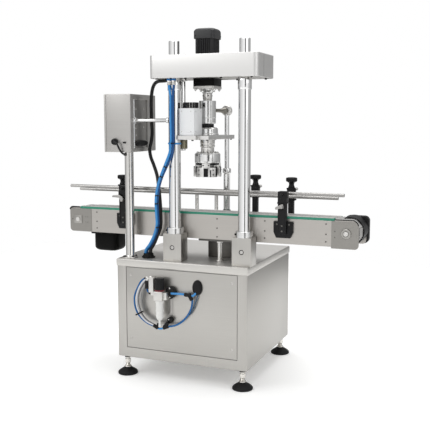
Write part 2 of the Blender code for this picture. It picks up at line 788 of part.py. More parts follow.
def make_conveyor():
    inner_front = conveyor_front + conveyor_sheet
    inner_back = conveyor_back - conveyor_sheet
    front = new_object("conveyor_plate_front",
                       sheet_shape([plate_outline()], conveyor_front, inner_front, "XZ"),
                       look="brushed steel")
    rear = new_object("conveyor_plate_rear",
                      sheet_shape([plate_outline()], inner_back, conveyor_back, "XZ"),
                      look="brushed steel")
    join(front,
         rod_shape((idler_x, conveyor_front - 0.008, roller_z), (idler_x, inner_front - 0.001, roller_z),
                   0.020),
         box_shape(around(drive_x, 0.020), (conveyor_front - 0.004, inner_front - 0.001),
                   around(roller_z, 0.018)))
    ledge_left = -0.060
    ledge_right = guide_x + 0.030
    posts = [rod_shape((x, guide_y - 0.008, plate_edge - 0.002), (x, guide_y - 0.008, rear_rail_z + 0.006),
                       0.008, sides=small_sides) for x in (-0.038, 0.056)]
    join(rear, box_shape((ledge_left, ledge_right), (inner_back + 0.001, guide_y + 0.024),
                         (plate_edge - 0.003, plate_edge)), *posts)
    for side in (front, rear):
        for x in (drive_x, idler_x):
            cut(side, rod_shape((x, conveyor_front - 0.05, roller_z), (x, conveyor_back + 0.05, roller_z),
                                axle_radius + running_gap, sides=small_sides))
    bed = new_object("chain_guide",
                     box_shape((drive_x + roller_radius + 0.004, idler_x - roller_radius - 0.004),
                               (inner_front + seat_gap, inner_back - seat_gap),
                               (bed_top - 0.0105, bed_top)), look="teal plastic")
    strips = []
    for edge, inward in ((conveyor_front, 1), (conveyor_back, -1)):
        y = sorted((edge, edge + inward * strip_width))
        strips.append(box_shape((strip_left, strip_right), y, (plate_edge + seat_gap, strip_top)))
    join(bed, *strips)
    loops = [arc_points(idler_x, roller_z, radius, -90, 7) + arc_points(idler_x, roller_z, radius, 0, 7)[1:]
             + arc_points(drive_x, roller_z, radius, 90, 7) + arc_points(drive_x, roller_z, radius, 180, 7)[1:]
             for radius in (chain_outer, chain_inner)]
    new_object("slat_chain", sheet_shape(loops, chain_middle - chain_width / 2,
                                         chain_middle + chain_width / 2, "XZ"), look="grey plastic")
    for name, x in (("drive_roller", drive_x), ("idler_roller", idler_x)):
        axle_front = conveyor_front - 0.011
        axle_back = conveyor_back + 0.014
        roller = new_object(name, rod_shape((x, axle_front, roller_z), (x, axle_back, roller_z),
                                            axle_radius, sides=small_sides),
                            origin=(x, chain_middle, roller_z), look="grey plastic")
        join(roller, rod_shape((x, chain_middle - chain_width / 2, roller_z),
                               (x, chain_middle + chain_width / 2, roller_z), roller_radius, sides=32))
    make_conveyor_drive()
    make_stand()


def make_conveyor_drive():
    motor_x = -0.4251
    low = conveyor_bottom - seat_gap
    motor = new_object("conveyor_gearmotor",
                       sheet_shape([rounded(around(motor_x, 0.052), around(chain_middle, 0.052), 0.018)],
                                   0.531, low - 0.006), look="black paint")
    guard_right = -0.462
    join(motor,
         sheet_shape([rounded(around(motor_x, 0.046), around(chain_middle, 0.046), 0.018)], 0.524, 0.533),
         box_shape((motor_x - 0.060, motor_x + 0.060), (conveyor_front + 0.006, conveyor_back + 0.030),
                   (low - 0.008, low)),
         box_shape((conveyor_left + 0.006, guard_right), (rear_bracket_face, conveyor_back + 0.032),
                   (low - 0.006, 0.702)))
    cut(motor, rod_shape((drive_x, conveyor_back - 0.01, roller_z),
                         (drive_x, conveyor_back + 0.020, roller_z), axle_radius + 0.002, sides=small_sides))
    half = 0.0555
    guard = new_object("end_guard",
                       sheet_shape([rounded((idler_x - half, idler_x + 0.0655),
                                            around(roller_z, half), 0.020)],
                                   rear_bracket_face, conveyor_back + 0.030, "XZ"),
                       look="black plastic")
    cut(guard, rod_shape((idler_x, conveyor_back - 0.01, roller_z),
                         (idler_x, conveyor_back + 0.020, roller_z), axle_radius + 0.002, sides=small_sides))


def make_stand():
    top = conveyor_bottom - seat_gap
    low = deck_top + seat_gap
    post_x = 0.1376
    stand = new_object("conveyor_stand",
                       box_shape((0.046, 0.216), (conveyor_front, conveyor_back + 0.004),
                                 (top - 0.008, top)), look="brushed steel")
    join(stand,
         box_shape((0.053, 0.202), (chain_middle + 0.010, conveyor_back + 0.002), (low, top - 0.004)),
         rod_shape((post_x, conveyor_front + 0.015, low), (post_x, conveyor_front + 0.015, top - 0.004),
                   0.010, sides=small_sides))


# ---- guide rails and their brackets ----
def make_rails():
    front = new_object("guide_rail_front",
                       rod_shape((front_rail_left, front_rail_y, front_rail_z),
                                 (front_rail_right, front_rail_y, front_rail_z), rail_radius, sides=12),
                       look="chrome")
    stem_end = bracket_face - rail_stem_reach
    join(front, *[rod_shape((x, stem_end, front_rail_z), (x, front_rail_y, front_rail_z), rail_stem_radius,
                            sides=12) for x in front_bracket_places.values()])
    rear = new_object("guide_rail_rear",
                      rod_shape((rear_rail_left, rear_rail_y, rear_rail_z),
                                (rear_rail_right, rear_rail_y, rear_rail_z), rail_radius, sides=12),
                      look="chrome")
    stem_end = rear_bracket_face + rail_stem_reach
    join(rear, *[rod_shape((x, rear_rail_y, rear_rail_z), (x, stem_end, rear_rail_z), rail_stem_radius,
                           sides=12) for x in rear_bracket_places.values()])
    for side, x in front_bracket_places.items():
        make_front_bracket(side, x)
    for side, x in rear_bracket_places.items():
        make_rear_bracket(side, x)


def make_front_bracket(side, x):
    outline = [(x - 0.041, 0.706), (x - 0.041, 0.662), (x - 0.030, 0.638), (x + 0.030, 0.638),
               (x + 0.041, 0.662), (x + 0.041, 0.706)]
    bracket = new_object(f"rail_bracket_front_{side}",
                         sheet_shape([outline], bracket_face - 0.010, bracket_face, "XZ"),
                         look="black plastic")
    head_low = 0.7814
    post_front = -0.232
    join(bracket,
         box_shape(around(x, 0.0165), (post_front, bracket_face - 0.002), (0.655, head_low + 0.002)),
         box_shape(around(x, 0.0185), (post_front - 0.002, -0.199), (head_low, 0.829)))
    cut(bracket, rod_shape((x, -0.30, front_rail_z), (x, -0.15, front_rail_z),
                           rail_stem_radius + seat_gap, sides=12))
    lever_y = post_front - seat_gap
    lever_z = head_low - 0.014
    lever = new_object(f"wing_lever_{side}",
                       rod_shape((x, lever_y, lever_z), (x, lever_y - 0.012, lever_z), 0.008, sides=small_sides),
                       origin=(x, lever_y, lever_z), look="aluminium")
    wing = [(x - 0.026, lever_z - 0.010), (x - 0.022, lever_z - 0.014), (x + 0.004, lever_z - 0.006),
            (x + 0.026, lever_z + 0.008), (x + 0.022, lever_z + 0.013), (x - 0.004, lever_z + 0.006)]
    join(lever, sheet_shape([wing], lever_y - 0.010, lever_y - 0.004, "XZ"))


def make_rear_bracket(side, x):
    near = rear_bracket_face
    head_low = 0.775
    head_high = 0.827
    bracket = new_object(f"rail_bracket_rear_{side}",
                         box_shape(around(x, 0.011), (near, near + 0.026), (0.650, head_low + 0.002)),
                         look="black plastic")
    middle = near + 0.014
    join(bracket,
         box_shape(around(x, 0.028), (near, near + 0.008), (0.640, 0.690)),
         box_shape(around(x, 0.017), (near, near + 0.028), (head_low, head_high)),
         rod_shape((x, middle, head_high - 0.002), (x, middle, 0.8655), 0.006, sides=12))
    cut(bracket, rod_shape((x, -0.10, rear_rail_z), (x, 0.05, rear_rail_z),
                           rail_stem_radius + seat_gap, sides=12))
    bore = 0.006 + seat_gap
    profile = [(0, 0.872), (0.020, 0.872), (0.0245, 0.868), (0.0245, 0.860), (0.018, 0.855),
               (0.010, 0.852), (0.009, 0.836), (0.0125, 0.831), (0.0125, head_high + seat_gap),
               (bore, head_high + seat_gap), (bore, 0.866), (0, 0.866)]
    turned(f"rail_knob_{side}", profile, (x, middle, head_high + seat_gap), "black plastic", sides=small_sides)


def make_guide_sleeve():
    low = plate_edge + seat_gap
    bore = guide_radius + running_gap
    profile = [(0, low + 0.012), (bore, low + 0.012), (bore, guide_sleeve_top),
               (0.0165, guide_sleeve_top), (0.018, guide_sleeve_top - 0.003),
               (0.018, guide_sleeve_top - 0.022), (guide_sleeve_radius, guide_sleeve_top - 0.024),
               (guide_sleeve_radius, low + 0.008), (0.0215, low + 0.006), (0.0215, low), (0, low)]
    turned("rod_sleeve", profile, (guide_x, guide_y, low), "aluminium", sides=small_sides)


# ---- control box on its pole ----
def make_control_box():
    low = deck_top + seat_gap
    pole_top = box_bottom - seat_gap
    profile = [(0, pole_top), (pole_radius, pole_top), (pole_radius, low + 0.006), (0.034, low + 0.005),
               (0.034, low), (0, low)]
    turned("box_pole", profile, (pole_x, pole_y, low), "chrome")
    box = shell_of("control_box", box_shape((door_face, box_right), (box_front, box_back),
                                            (box_bottom, box_top)), (-1, 0, 0), box_sheet,
                   "brushed steel")
    frame = 0.016
    recess = box_shape((box_right - 0.0015, box_right + 0.01), (box_front + frame, box_back - frame),
                       (box_bottom + frame, box_top - frame))
    join(box, rod_shape((box_right - box_sheet / 2, column_y, brace_z),
                        (column_left_x - column_radius - seat_gap, column_y, brace_z), brace_radius,
                        sides=small_sides))
    change(box, "DIFFERENCE", [frame_around_brace(recess)])
    hinge = (box_left, box_back + 0.0012, (box_bottom + box_top) / 2)
    door = new_object("control_door",
                      box_shape((box_left, box_left + door_thickness), (box_front, box_back),
                                (box_bottom, box_top)), origin=hinge, look="brushed steel")
    button_y = (box_front + box_back) / 2
    button_z = box_bottom + 0.060
    face = box_left - seat_gap
    cut(door, rod_shape((box_left - 0.01, button_y, button_z), (box_left + 0.02, button_y, button_z),
                        0.008 + running_gap, sides=small_sides))
    button = new_object("stop_button",
                        rod_shape((box_left + 0.0055, button_y, button_z), (face - 0.012, button_y, button_z),
                                  0.008, sides=small_sides),
                        origin=(face - 0.010, button_y, button_z), look="red plastic")
    join(button, rod_shape((face - 0.010, button_y, button_z), (face - 0.024, button_y, button_z),
                           0.020, 0.018, sides=small_sides))


def frame_around_brace(recess):
    """The recess's cutter with the brace's foot left standing."""
    tool = new_object("box recess", recess)
    cut(tool, rod_shape((box_right - 0.02, column_y, brace_z), (box_right + 0.02, column_y, brace_z),
                        brace_radius + 0.003, sides=small_sides))
    return tool


def make_box_lead():
    gland = (-0.3094, -0.2803, 1.022)
    lead = new_object("box_lead",
                      rod_shape(gland, (gland[0], gland[1] - 0.014, gland[2]), 0.014, sides=small_sides),
                      look="black plastic")
    route = [(-0.3094, -0.290, 1.022), (-0.306, -0.300, 1.021), (-0.292, -0.3005, 1.015),
             (-0.279, -0.297, 0.997), (-0.271, -0.289, 0.975), (-0.265, -0.281, 0.957),
             (-0.2605, -0.2770, 0.945)]
    join(lead, tube_shape(route, 0.0033))


# ---- air service on the front panel ----
def make_air_service():
    face = front_face - seat_gap
    body = new_object("regulator_body",
                      box_shape(around(regulator_x, 0.0205), around(regulator_y, 0.020),
                                (bowl_top, regulator_split)), look="aluminium")
    fitting_x = -0.1178
    fitting_top = 0.4470
    upper_x = -0.0368
    upper_z = 0.3934
    lower_x = -0.0418
    lower_z = 0.2730
    join(body,
         box_shape((regulator_x + 0.010, upper_x - 0.006), (regulator_y - 0.010, face),
                   (bowl_top + 0.004, regulator_split - 0.004)),
         rod_shape((upper_x, face, upper_z), (upper_x, regulator_y + 0.006, upper_z), 0.022, sides=small_sides),
         box_shape((upper_x - 0.010, upper_x + 0.006), (face - 0.005, face), (lower_z, upper_z)),
         rod_shape((lower_x, face, lower_z), (lower_x, face - 0.022, lower_z), 0.0165, sides=small_sides),
         box_shape((-0.112, -0.1013), around(regulator_y, 0.008), (0.385, 0.455)),
         box_shape((-0.112, regulator_x - 0.010), around(regulator_y, 0.008), (0.385, 0.399)),
         rod_shape((fitting_x, regulator_y, 0.4170), (fitting_x, regulator_y, fitting_top), 0.0075, sides=12))
    turned("regulator_bowl",
           [(0, bowl_top - seat_gap), (bowl_radius, bowl_top - seat_gap), (bowl_radius, bowl_bottom + 0.008),
            (bowl_radius - 0.006, bowl_bottom), (0.006, bowl_bottom), (0.006, drain_bottom),
            (0, drain_bottom)], (regulator_x, regulator_y, drain_bottom), "aluminium", sides=small_sides)
    turned("regulator_knob",
           [(0, regulator_top), (regulator_radius - 0.002, regulator_top),
            (regulator_radius, regulator_top - 0.002), (regulator_radius, regulator_split + seat_gap),
            (0, regulator_split + seat_gap)], (regulator_x, regulator_y, regulator_split), "black plastic",
           sides=small_sides)
    grommet_x = 0.0809
    grommet_z = 0.4213
    grommet = rod_shape((grommet_x, face, grommet_z), (grommet_x, face - 0.012, grommet_z), 0.019,
                        sides=small_sides)
    for vert in grommet.verts:
        vert.co.z = grommet_z + (vert.co.z - grommet_z) * 1.5
    hoses = new_object("regulator_hoses", grommet, look="blue hose")
    route = [(fitting_x, regulator_y, fitting_top + seat_gap), (fitting_x, regulator_y, fitting_top + 0.003),
             (fitting_x, regulator_y, fitting_top + 0.006), (-0.1290, -0.327, 0.4620),
             (-0.1500, -0.322, 0.4420), (-0.1720, -0.318, 0.4080), (-0.1810, -0.316, 0.3700),
             (-0.1760, -0.314, 0.3310), (-0.1570, -0.310, 0.2930), (-0.1260, -0.306, 0.2640),
             (-0.0950, -0.304, 0.2480), (-0.0600, -0.304, 0.2440), (-0.0300, -0.304, 0.2470),
             (0.0080, -0.306, 0.2640), (0.0380, -0.308, 0.2920), (0.0560, -0.309, 0.3300),
             (0.0600, -0.309, 0.3640), (0.0620, -0.308, 0.3880), (0.0720, -0.304, 0.4080)]
    join(hoses, tube_shape(route, 0.0040))


# ---- cable and air hose from the head down to the gland ----
def make_services():
    top = head_plate_bottom - 2 * seat_gap
    bottom = deck_top + gland_height + 2 * seat_gap
    cable = [(-0.1016, -0.200, top), (-0.1016, -0.200, top - 0.005), (-0.1016, -0.200, top - 0.010),
             (-0.120, -0.189, 1.264),
             (-0.165, -0.164, 1.244), (-0.1895, -0.150, 1.218), (-0.206, -0.138, 1.185),
             (-0.2110, -0.130, 1.150), (-0.2115, -0.128, 1.090), (-0.2110, -0.129, 1.026),
             (-0.2020, -0.142, 0.970), (-0.1830, -0.167, 0.925), (-0.1602, -0.190, 0.8894),
             (-0.1400, -0.216, 0.8350), (-0.1246, -0.226, 0.7601), (-0.1208, -0.229, 0.6895),
             (-0.1290, -0.232, 0.6400), (-0.1480, -0.231, 0.5980), (-0.1720, -0.227, 0.5740),
             (-0.1820, -0.226, bottom + 0.016), (-0.1820, -0.226, bottom + 0.008),
             (-0.1820, -0.226, bottom)]
    new_object("main_cable", tube_shape(cable, cable_radius), look="rubber")
    fitting_bottom = head_bottom - 0.042 - seat_gap
    hose_y = head_front + 0.003
    column_front = column_y - column_radius
    hose = [(-0.050, hose_y, fitting_bottom), (-0.050, hose_y, 1.235), (-0.050, hose_y, 1.228),
            (-0.0460, hose_y, 1.190),
            (-0.0440, hose_y, 1.100), (-0.0440, hose_y, 1.0373), (-0.0540, column_front - 0.0125, 0.9900),
            (-0.0851, column_front - 0.0075, 0.9445), (-0.1094, column_front - 0.0015, 0.8929),
            (-0.1286, -0.262, 0.8315),
            (-0.1345, -0.254, 0.7604), (-0.1345, -0.253, 0.6896), (-0.1440, -0.252, 0.6300),
            (-0.1640, -0.246, 0.5930), (-0.1900, -0.237, 0.5720),
            (-0.2010, -0.232, bottom + 0.016), (-0.2010, -0.232, bottom + 0.008),
            (-0.2010, -0.232, bottom)]
    new_object("air_hose", tube_shape(hose, air_hose_radius), look="blue hose")


make_cabinet()
make_feet()
make_deck()
make_columns()
make_head()
make_drive()
make_cylinder()
make_carriage()
make_chuck()
make_conveyor()
make_rails()
make_guide_sleeve()
make_control_box()
make_box_lead()
make_air_service()
make_services()
bpy.context.view_layer.update()
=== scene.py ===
# A bottle capping machine: fine shapes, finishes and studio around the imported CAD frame.
# Lengths are in metres. Places are given from the middle of the cabinet at floor level, and
# setDown moves each finished piece into the frame's own place.
import math

import bmesh
import bpy
from mathutils import Matrix, Vector


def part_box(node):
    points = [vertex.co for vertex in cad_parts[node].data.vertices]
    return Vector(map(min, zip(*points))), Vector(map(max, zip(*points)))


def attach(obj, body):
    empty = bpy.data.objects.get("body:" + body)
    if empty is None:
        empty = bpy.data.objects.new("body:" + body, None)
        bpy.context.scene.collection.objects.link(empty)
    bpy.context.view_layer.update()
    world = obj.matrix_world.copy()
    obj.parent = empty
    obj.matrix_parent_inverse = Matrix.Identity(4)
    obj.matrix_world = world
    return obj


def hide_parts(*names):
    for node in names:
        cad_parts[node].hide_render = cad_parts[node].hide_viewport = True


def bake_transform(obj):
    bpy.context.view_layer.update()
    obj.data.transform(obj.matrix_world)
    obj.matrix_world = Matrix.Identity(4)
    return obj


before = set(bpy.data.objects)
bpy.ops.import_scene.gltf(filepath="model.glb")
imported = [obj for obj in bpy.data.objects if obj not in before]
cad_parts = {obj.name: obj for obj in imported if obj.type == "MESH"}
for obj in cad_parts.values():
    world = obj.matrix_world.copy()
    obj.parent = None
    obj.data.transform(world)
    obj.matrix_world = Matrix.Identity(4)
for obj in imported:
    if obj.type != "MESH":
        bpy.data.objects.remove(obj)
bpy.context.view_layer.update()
toFront, toRear, toRight, toLeft = (0, -1, 0), (0, 1, 0), (1, 0, 0), (-1, 0, 0)
toTop, toFloor = (0, 0, 1), (0, 0, -1)
columnPlaces = {"left": (-0.045, -0.2435), "right": (0.266, -0.2435)}
columnLow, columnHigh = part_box("column_left")
shift = Vector(((columnLow[0] + columnHigh[0]) / 2 - columnPlaces["left"][0],
                (columnLow[1] + columnHigh[1]) / 2 - columnPlaces["left"][1], 0))
fullTurn = 2 * math.pi


# finishes: sockets joined with sums in Python
class Signal:
    def __init__(self, finish, socket):
        self.finish = finish
        self.socket = socket

    def maths(self, operation, first, second):
        return self.finish.node("ShaderNodeMath", {"operation": operation}, {0: first, 1: second})

    def __add__(self, other):
        return self.maths("ADD", self, other)

    def __radd__(self, other):
        return self.maths("ADD", other, self)

    def __sub__(self, other):
        return self.maths("SUBTRACT", self, other)

    def __rsub__(self, other):
        return self.maths("SUBTRACT", other, self)

    def __mul__(self, other):
        return self.maths("MULTIPLY", self, other)

    def __rmul__(self, other):
        return self.maths("MULTIPLY", other, self)

    def __gt__(self, other):
        return self.maths("GREATER_THAN", self, other)


class Finish:
    def __init__(self, name, slot, colour, metallic, roughness, specular=0.5):
        self.slot = slot
        self.material = bpy.data.materials.new(name)
        self.material.use_nodes = True
        self.tree = self.material.node_tree
        self.shader = self.tree.nodes["Principled BSDF"]
        self.colour = colour
        self.roughness = roughness
        self.shader.inputs["Base Color"].default_value = (*colour, 1)
        self.shader.inputs["Metallic"].default_value = metallic
        self.shader.inputs["Roughness"].default_value = roughness
        self.shader.inputs["Specular IOR Level"].default_value = specular
        self.place = self.node("ShaderNodeTexCoord", {}, {}, "Object")

    def node(self, kind, settings, sockets, output=0):
        made = self.tree.nodes.new(kind)
        for key, value in settings.items():
            if key == "stops":
                for stop, (position, colour) in zip(made.color_ramp.elements, value):
                    stop.position = position
                    stop.color = colour
            else:
                setattr(made, key, value)
        for key, value in sockets.items():
            if isinstance(value, Signal):
                self.tree.links.new(value.socket, made.inputs[key])
            else:
                made.inputs[key].default_value = value
        return Signal(self, made.outputs[output])

    def stretched(self, scale):
        return self.node("ShaderNodeMapping", {}, {"Vector": self.place, "Scale": scale}, "Vector")

    def noise(self, scale, detail=3.0, stretch=None):
        vector = self.stretched(stretch) if stretch else self.place
        return self.node("ShaderNodeTexNoise", {}, {"Vector": vector, "Scale": scale, "Detail": detail},
                         "Fac")

    def between(self, amount, low, high):
        return self.node("ShaderNodeMix", {"data_type": "RGBA"},
                         {0: amount, 6: (*low, 1), 7: (*high, 1)}, 2)

    def feed(self, socket, signal):
        self.tree.links.new(signal.socket, self.shader.inputs[socket])

    def relief(self, height, strength, distance):
        self.feed("Normal", self.node("ShaderNodeBump", {}, {"Strength": strength, "Distance": distance,
                                                            "Height": height}, "Normal"))

    def tinted(self, amount, spread):
        # the colour, a little darker to a little lighter over the surface
        low = tuple(channel * (1 - spread) for channel in self.colour)
        high = tuple(min(1, channel * (1 + spread)) for channel in self.colour)
        self.feed("Base Color", self.between(amount, low, high))


def brushedMetal(name, slot, colour, roughness, grain, spread=0.1, depth=0.12):
    # long fine scratches along one way, with broad cloudy patches from handling
    finish = Finish(name, slot, colour, 1.0, roughness)
    scratches = finish.noise(1.0, 4.0, grain)
    patches = finish.noise(5.0, 3.0)
    mix = scratches * 0.6 + patches * 0.4
    finish.tinted(mix, spread)
    finish.feed("Roughness", roughness - 0.1 + scratches * 0.14 + patches * 0.06)
    finish.relief(scratches, depth, 0.0004)
    return finish


def turnedMetal(name, slot, colour, roughness, rings=900, spread=0.06, metallic=1.0):
    # faint rings left by the lathe, and a slight bloom
    finish = Finish(name, slot, colour, metallic, roughness)
    marks = finish.noise(1.0, 2.0, (6, 6, rings))
    bloom = finish.noise(9.0, 3.0)
    finish.tinted(marks * 0.4 + bloom * 0.6, spread)
    finish.feed("Roughness", roughness - 0.04 + marks * 0.06 + bloom * 0.03)
    finish.relief(marks, 0.05, 0.0002)
    return finish


def grainedPlastic(name, slot, colour, roughness, grain=700, strength=0.12, spread=0.12, specular=0.5,
                   metallic=0.0):
    # a moulded or sprayed skin: fine grain, slightly uneven gloss
    finish = Finish(name, slot, colour, metallic, roughness, specular)
    fine = finish.noise(grain, 2.0)
    broad = finish.noise(14.0, 3.0)
    finish.tinted(broad, spread)
    finish.feed("Roughness", roughness - 0.06 + fine * 0.06 + broad * 0.06)
    finish.relief(fine, strength, 0.0003)
    return finish


warmSteel = (0.46, 0.448, 0.425)
sheetSteel = brushedMetal("sheet steel, grain across", "brushed_steel", warmSteel, 0.36, (4, 4, 420))
uprightSteel = brushedMetal("sheet steel, grain upright", "brushed_steel", warmSteel, 0.36, (420, 420, 4))
deckSteel = brushedMetal("deck steel", "brushed_steel", (0.78, 0.765, 0.74), 0.5, (3, 380, 3))
lipSteel = brushedMetal("deck lip steel", "brushed_steel", (0.57, 0.557, 0.53), 0.36, (4, 4, 420))
boxSteel = brushedMetal("control box steel", "brushed_steel", (0.46, 0.45, 0.435), 0.42, (4, 4, 300))
# Painted shade: a darker copy of the control box steel, for the box's recessed side panel and the plate
# between the regulator bosses.
paintedShadeSteel = brushedMetal("steel with painted shade", "brushed_steel", (0.36, 0.35, 0.335), 0.36, (4, 4, 300))
coverCoat = brushedMetal("head cover satin", "satin_cover", (0.7, 0.695, 0.685), 0.46, (4, 4, 160), 0.03,
                         0.05)
chromeBar = turnedMetal("chromed bar", "chrome", (0.8, 0.8, 0.8), 0.1, 700, 0.03)
brightSteel = turnedMetal("bright steel", "chrome", (0.66, 0.65, 0.63), 0.22)
nickel = turnedMetal("nickel plate", "chrome", (0.74, 0.72, 0.68), 0.16, 500)
turnedAlloy = turnedMetal("turned alloy", "aluminium", (0.72, 0.72, 0.715), 0.18)
milledAlloy = brushedMetal("milled alloy", "aluminium", (0.7, 0.695, 0.68), 0.36, (260, 4, 4), 0.06, 0.08)
castAlloy = grainedPlastic("cast alloy", "aluminium", (0.62, 0.61, 0.59), 0.42, 500, 0.16, 0.1, metallic=1.0)
motorBlack = grainedPlastic("motor black", "black_paint", (0.009, 0.009, 0.01), 0.36, 500, 0.1, specular=0.28)
capBlack = grainedPlastic("motor cap black", "black_paint", (0.022, 0.0225, 0.024), 0.42, 500, 0.1,
                          specular=0.4)
deepBlack = grainedPlastic("gear case black", "black_paint", (0.003, 0.003, 0.0028), 0.38, 500, 0.1,
                           specular=0.08)
mouldedBlack = grainedPlastic("moulded black", "black_plastic", (0.006, 0.006, 0.0066), 0.4, specular=0.22)
glossBlack = grainedPlastic("gloss black", "black_plastic", (0.005, 0.005, 0.0055), 0.2, 500, 0.03,
                            specular=0.3)
softRubber = grainedPlastic("black rubber", "rubber", (0.0075, 0.0075, 0.008), 0.55, 420, 0.2, specular=0.2)
cableSkin = grainedPlastic("cable skin", "rubber", (0.007, 0.007, 0.0075), 0.34, 300, 0.1, specular=0.3)
whiteEnamel = grainedPlastic("white enamel", "white_enamel", (0.8, 0.81, 0.82), 0.36, 400, 0.05, 0.03)
tealPlastic = grainedPlastic("teal strip", "teal_plastic", (0.022, 0.225, 0.145), 0.34, 300, 0.06)
slatPlastic = grainedPlastic("slat acetal", "grey_plastic", (0.4, 0.395, 0.385), 0.4, 350, 0.08, 0.06)
paleSlat = grainedPlastic("pale acetal", "grey_plastic", (0.54, 0.53, 0.51), 0.36, 350, 0.06, 0.04)
blueTube = grainedPlastic("blue tube", "blue_hose", (0.012, 0.105, 0.29), 0.26, 120, 0.04, 0.18, specular=0.3)
skyTube = grainedPlastic("pale blue tube", "blue_hose", (0.045, 0.25, 0.58), 0.24, 120, 0.04, 0.14,
                         specular=0.3)
deepTube = grainedPlastic("deep blue tube", "blue_hose", (0.008, 0.07, 0.23), 0.24, 120, 0.04, 0.16,
                          specular=0.3)
greyTube = grainedPlastic("grey tube", "blue_hose", (0.13, 0.13, 0.14), 0.26, 120, 0.04)
# Painted highlight: a whitish tube laid between the blue and grey tubes stands for the light band of a
# highlight on them.
paintedHighlightTube = grainedPlastic("tube with painted highlight", "blue_hose", (0.62, 0.63, 0.65), 0.22, 120, 0.04, 0.06)
bowlPlastic = grainedPlastic("bowl plastic", "aluminium", (0.72, 0.72, 0.7), 0.3, 300, 0.04, 0.05)
redPlastic = grainedPlastic("red plastic", "red_plastic", (0.62, 0.015, 0.012), 0.26, 400, 0.04)
screwSteel = turnedMetal("screw steel", "chrome", (0.58, 0.57, 0.55), 0.26)
blackScrew = grainedPlastic("blackened screw", "black_plastic", (0.008, 0.008, 0.0085), 0.32, specular=0.3)
dullScrew = turnedMetal("dull screw", "chrome", (0.16, 0.155, 0.145), 0.34)
seamShade = grainedPlastic("seam shade", "black_plastic", (0.05, 0.048, 0.045), 0.6)
panelGlass = grainedPlastic("touch panel glass", "black_plastic", (0.02, 0.025, 0.03), 0.08, 60, 0.0, 0.05)
print("finishes ready:", len(bpy.data.materials))


# ways of making a shape
def boxForm(x, y, z, edge=0.0008, steps=2):
    form = bmesh.new()
    bmesh.ops.create_cube(form, size=1.0)
    size = Vector((x[1] - x[0], y[1] - y[0], z[1] - z[0]))
    middle = Vector((x[0] + x[1], y[0] + y[1], z[0] + z[1])) / 2
    bmesh.ops.scale(form, vec=size, verts=form.verts)
    bmesh.ops.translate(form, vec=middle, verts=form.verts)
    if edge:
        bmesh.ops.bevel(form, geom=form.edges[:], offset=edge, segments=steps, profile=0.5, affect="EDGES")
    return form


def about(middle, half):
    return (middle - half, middle + half)


def hexReach(angle):
    return math.cos(math.pi / 6) / math.cos(angle % (math.pi / 3) - math.pi / 6)


def eased(profile, ease):
    # each corner of a turned outline becomes a small chamfer
    points = [profile[0]]
    for before, corner, after in zip(profile, profile[1:], profile[2:]):
        for neighbour in (before, after):
            away = Vector(neighbour[:2]) - Vector(corner[:2])
            spot = Vector(corner[:2]) + away.normalized() * min(ease, away.length * 0.35)
            points.append((*spot, *corner[2:]))
    points.append(profile[-1])
    return points


def turnedForm(profile, start=(0, 0, 0), toward=toTop, sides=48, ease=0.0006, flutes=None):
    # pairs of radius and distance along the axis; a third value marks a hexagonal or fluted ring
    form = bmesh.new()
    rings = []
    for radius, height, *mark in (eased(profile, ease) if ease else profile):
        if radius < 0.00001:
            rings.append([form.verts.new((0, 0, height))])
            continue
        ring = []
        for index in range(sides):
            angle = fullTurn * index / sides
            reach = radius
            if "hex" in mark:
                reach = radius * hexReach(angle)
            if "flute" in mark:
                reach = radius * (1 - flutes[1] * (0.5 + 0.5 * math.cos(flutes[0] * angle)) ** 2)
            ring.append(form.verts.new((reach * math.cos(angle), reach * math.sin(angle), height)))
        rings.append(ring)
    for lower, upper in zip(rings, rings[1:]):
        for index in range(sides):
            follower = (index + 1) % sides
            corners = [lower[index % len(lower)], lower[follower % len(lower)],
                       upper[follower % len(upper)], upper[index % len(upper)]]
            corners = list(dict.fromkeys(corners))
            if len(corners) > 2:
                form.faces.new(corners)
    bmesh.ops.remove_doubles(form, verts=form.verts, dist=0.000001)
    spin = Vector(toTop).rotation_difference(Vector(toward)).to_matrix().to_4x4()
    bmesh.ops.transform(form, matrix=Matrix.Translation(start) @ spin, verts=form.verts)
    return form


def barForm(start, end, radius, endRadius=None, sides=32, ease=0.0005):
    run = Vector(end) - Vector(start)
    last = radius if endRadius is None else endRadius
    return turnedForm([(0, 0), (radius, 0), (last, run.length), (0, run.length)], start, run, sides, ease)


def ringForm(start, toward, bore, radius, depth, sides=40, ease=0.0005):
    return turnedForm([(bore, 0), (radius, 0), (radius, depth), (bore, depth), (bore, 0)],
                      start, toward, sides, ease)


def plateForm(outline, low, high, plane="XY", ease=0.0006, steps=1):
    # a flat outline made thick, with its sharp edges taken off
    form = bmesh.new()
    base = form.faces.new([form.verts.new((u, v, low)) for u, v in outline])
    grown = bmesh.ops.extrude_face_region(form, geom=[base])
    bmesh.ops.translate(form, vec=(0, 0, high - low),
                        verts=[item for item in grown["geom"] if isinstance(item, bmesh.types.BMVert)])
    bmesh.ops.recalc_face_normals(form, faces=form.faces)
    if ease:
        sharp = [edge for edge in form.edges if edge.calc_face_angle(0) > 0.6]
        bmesh.ops.bevel(form, geom=sharp, offset=ease, segments=steps, profile=0.5, affect="EDGES")
    for vert in form.verts:
        u, v, w = vert.co
        vert.co = {"XY": (u, v, w), "XZ": (u, w, v), "YZ": (w, u, v)}[plane]
    return form


def arcPoints(centreX, centreY, radius, first, last, steps):
    points = []
    for index in range(steps + 1):
        angle = math.radians(first + (last - first) * index / steps)
        points.append((centreX + radius * math.cos(angle), centreY + radius * math.sin(angle)))
    return points


def roundedOutline(x, y, radius, steps=6):
    points = []
    for cornerX, cornerY, first in ((x[1], y[1], 0), (x[0], y[1], 90), (x[0], y[0], 180), (x[1], y[0], 270)):
        inX = cornerX - radius if cornerX == x[1] else cornerX + radius
        inY = cornerY - radius if cornerY == y[1] else cornerY + radius
        points += arcPoints(inX, inY, radius, first, first + 90, steps)
    return points


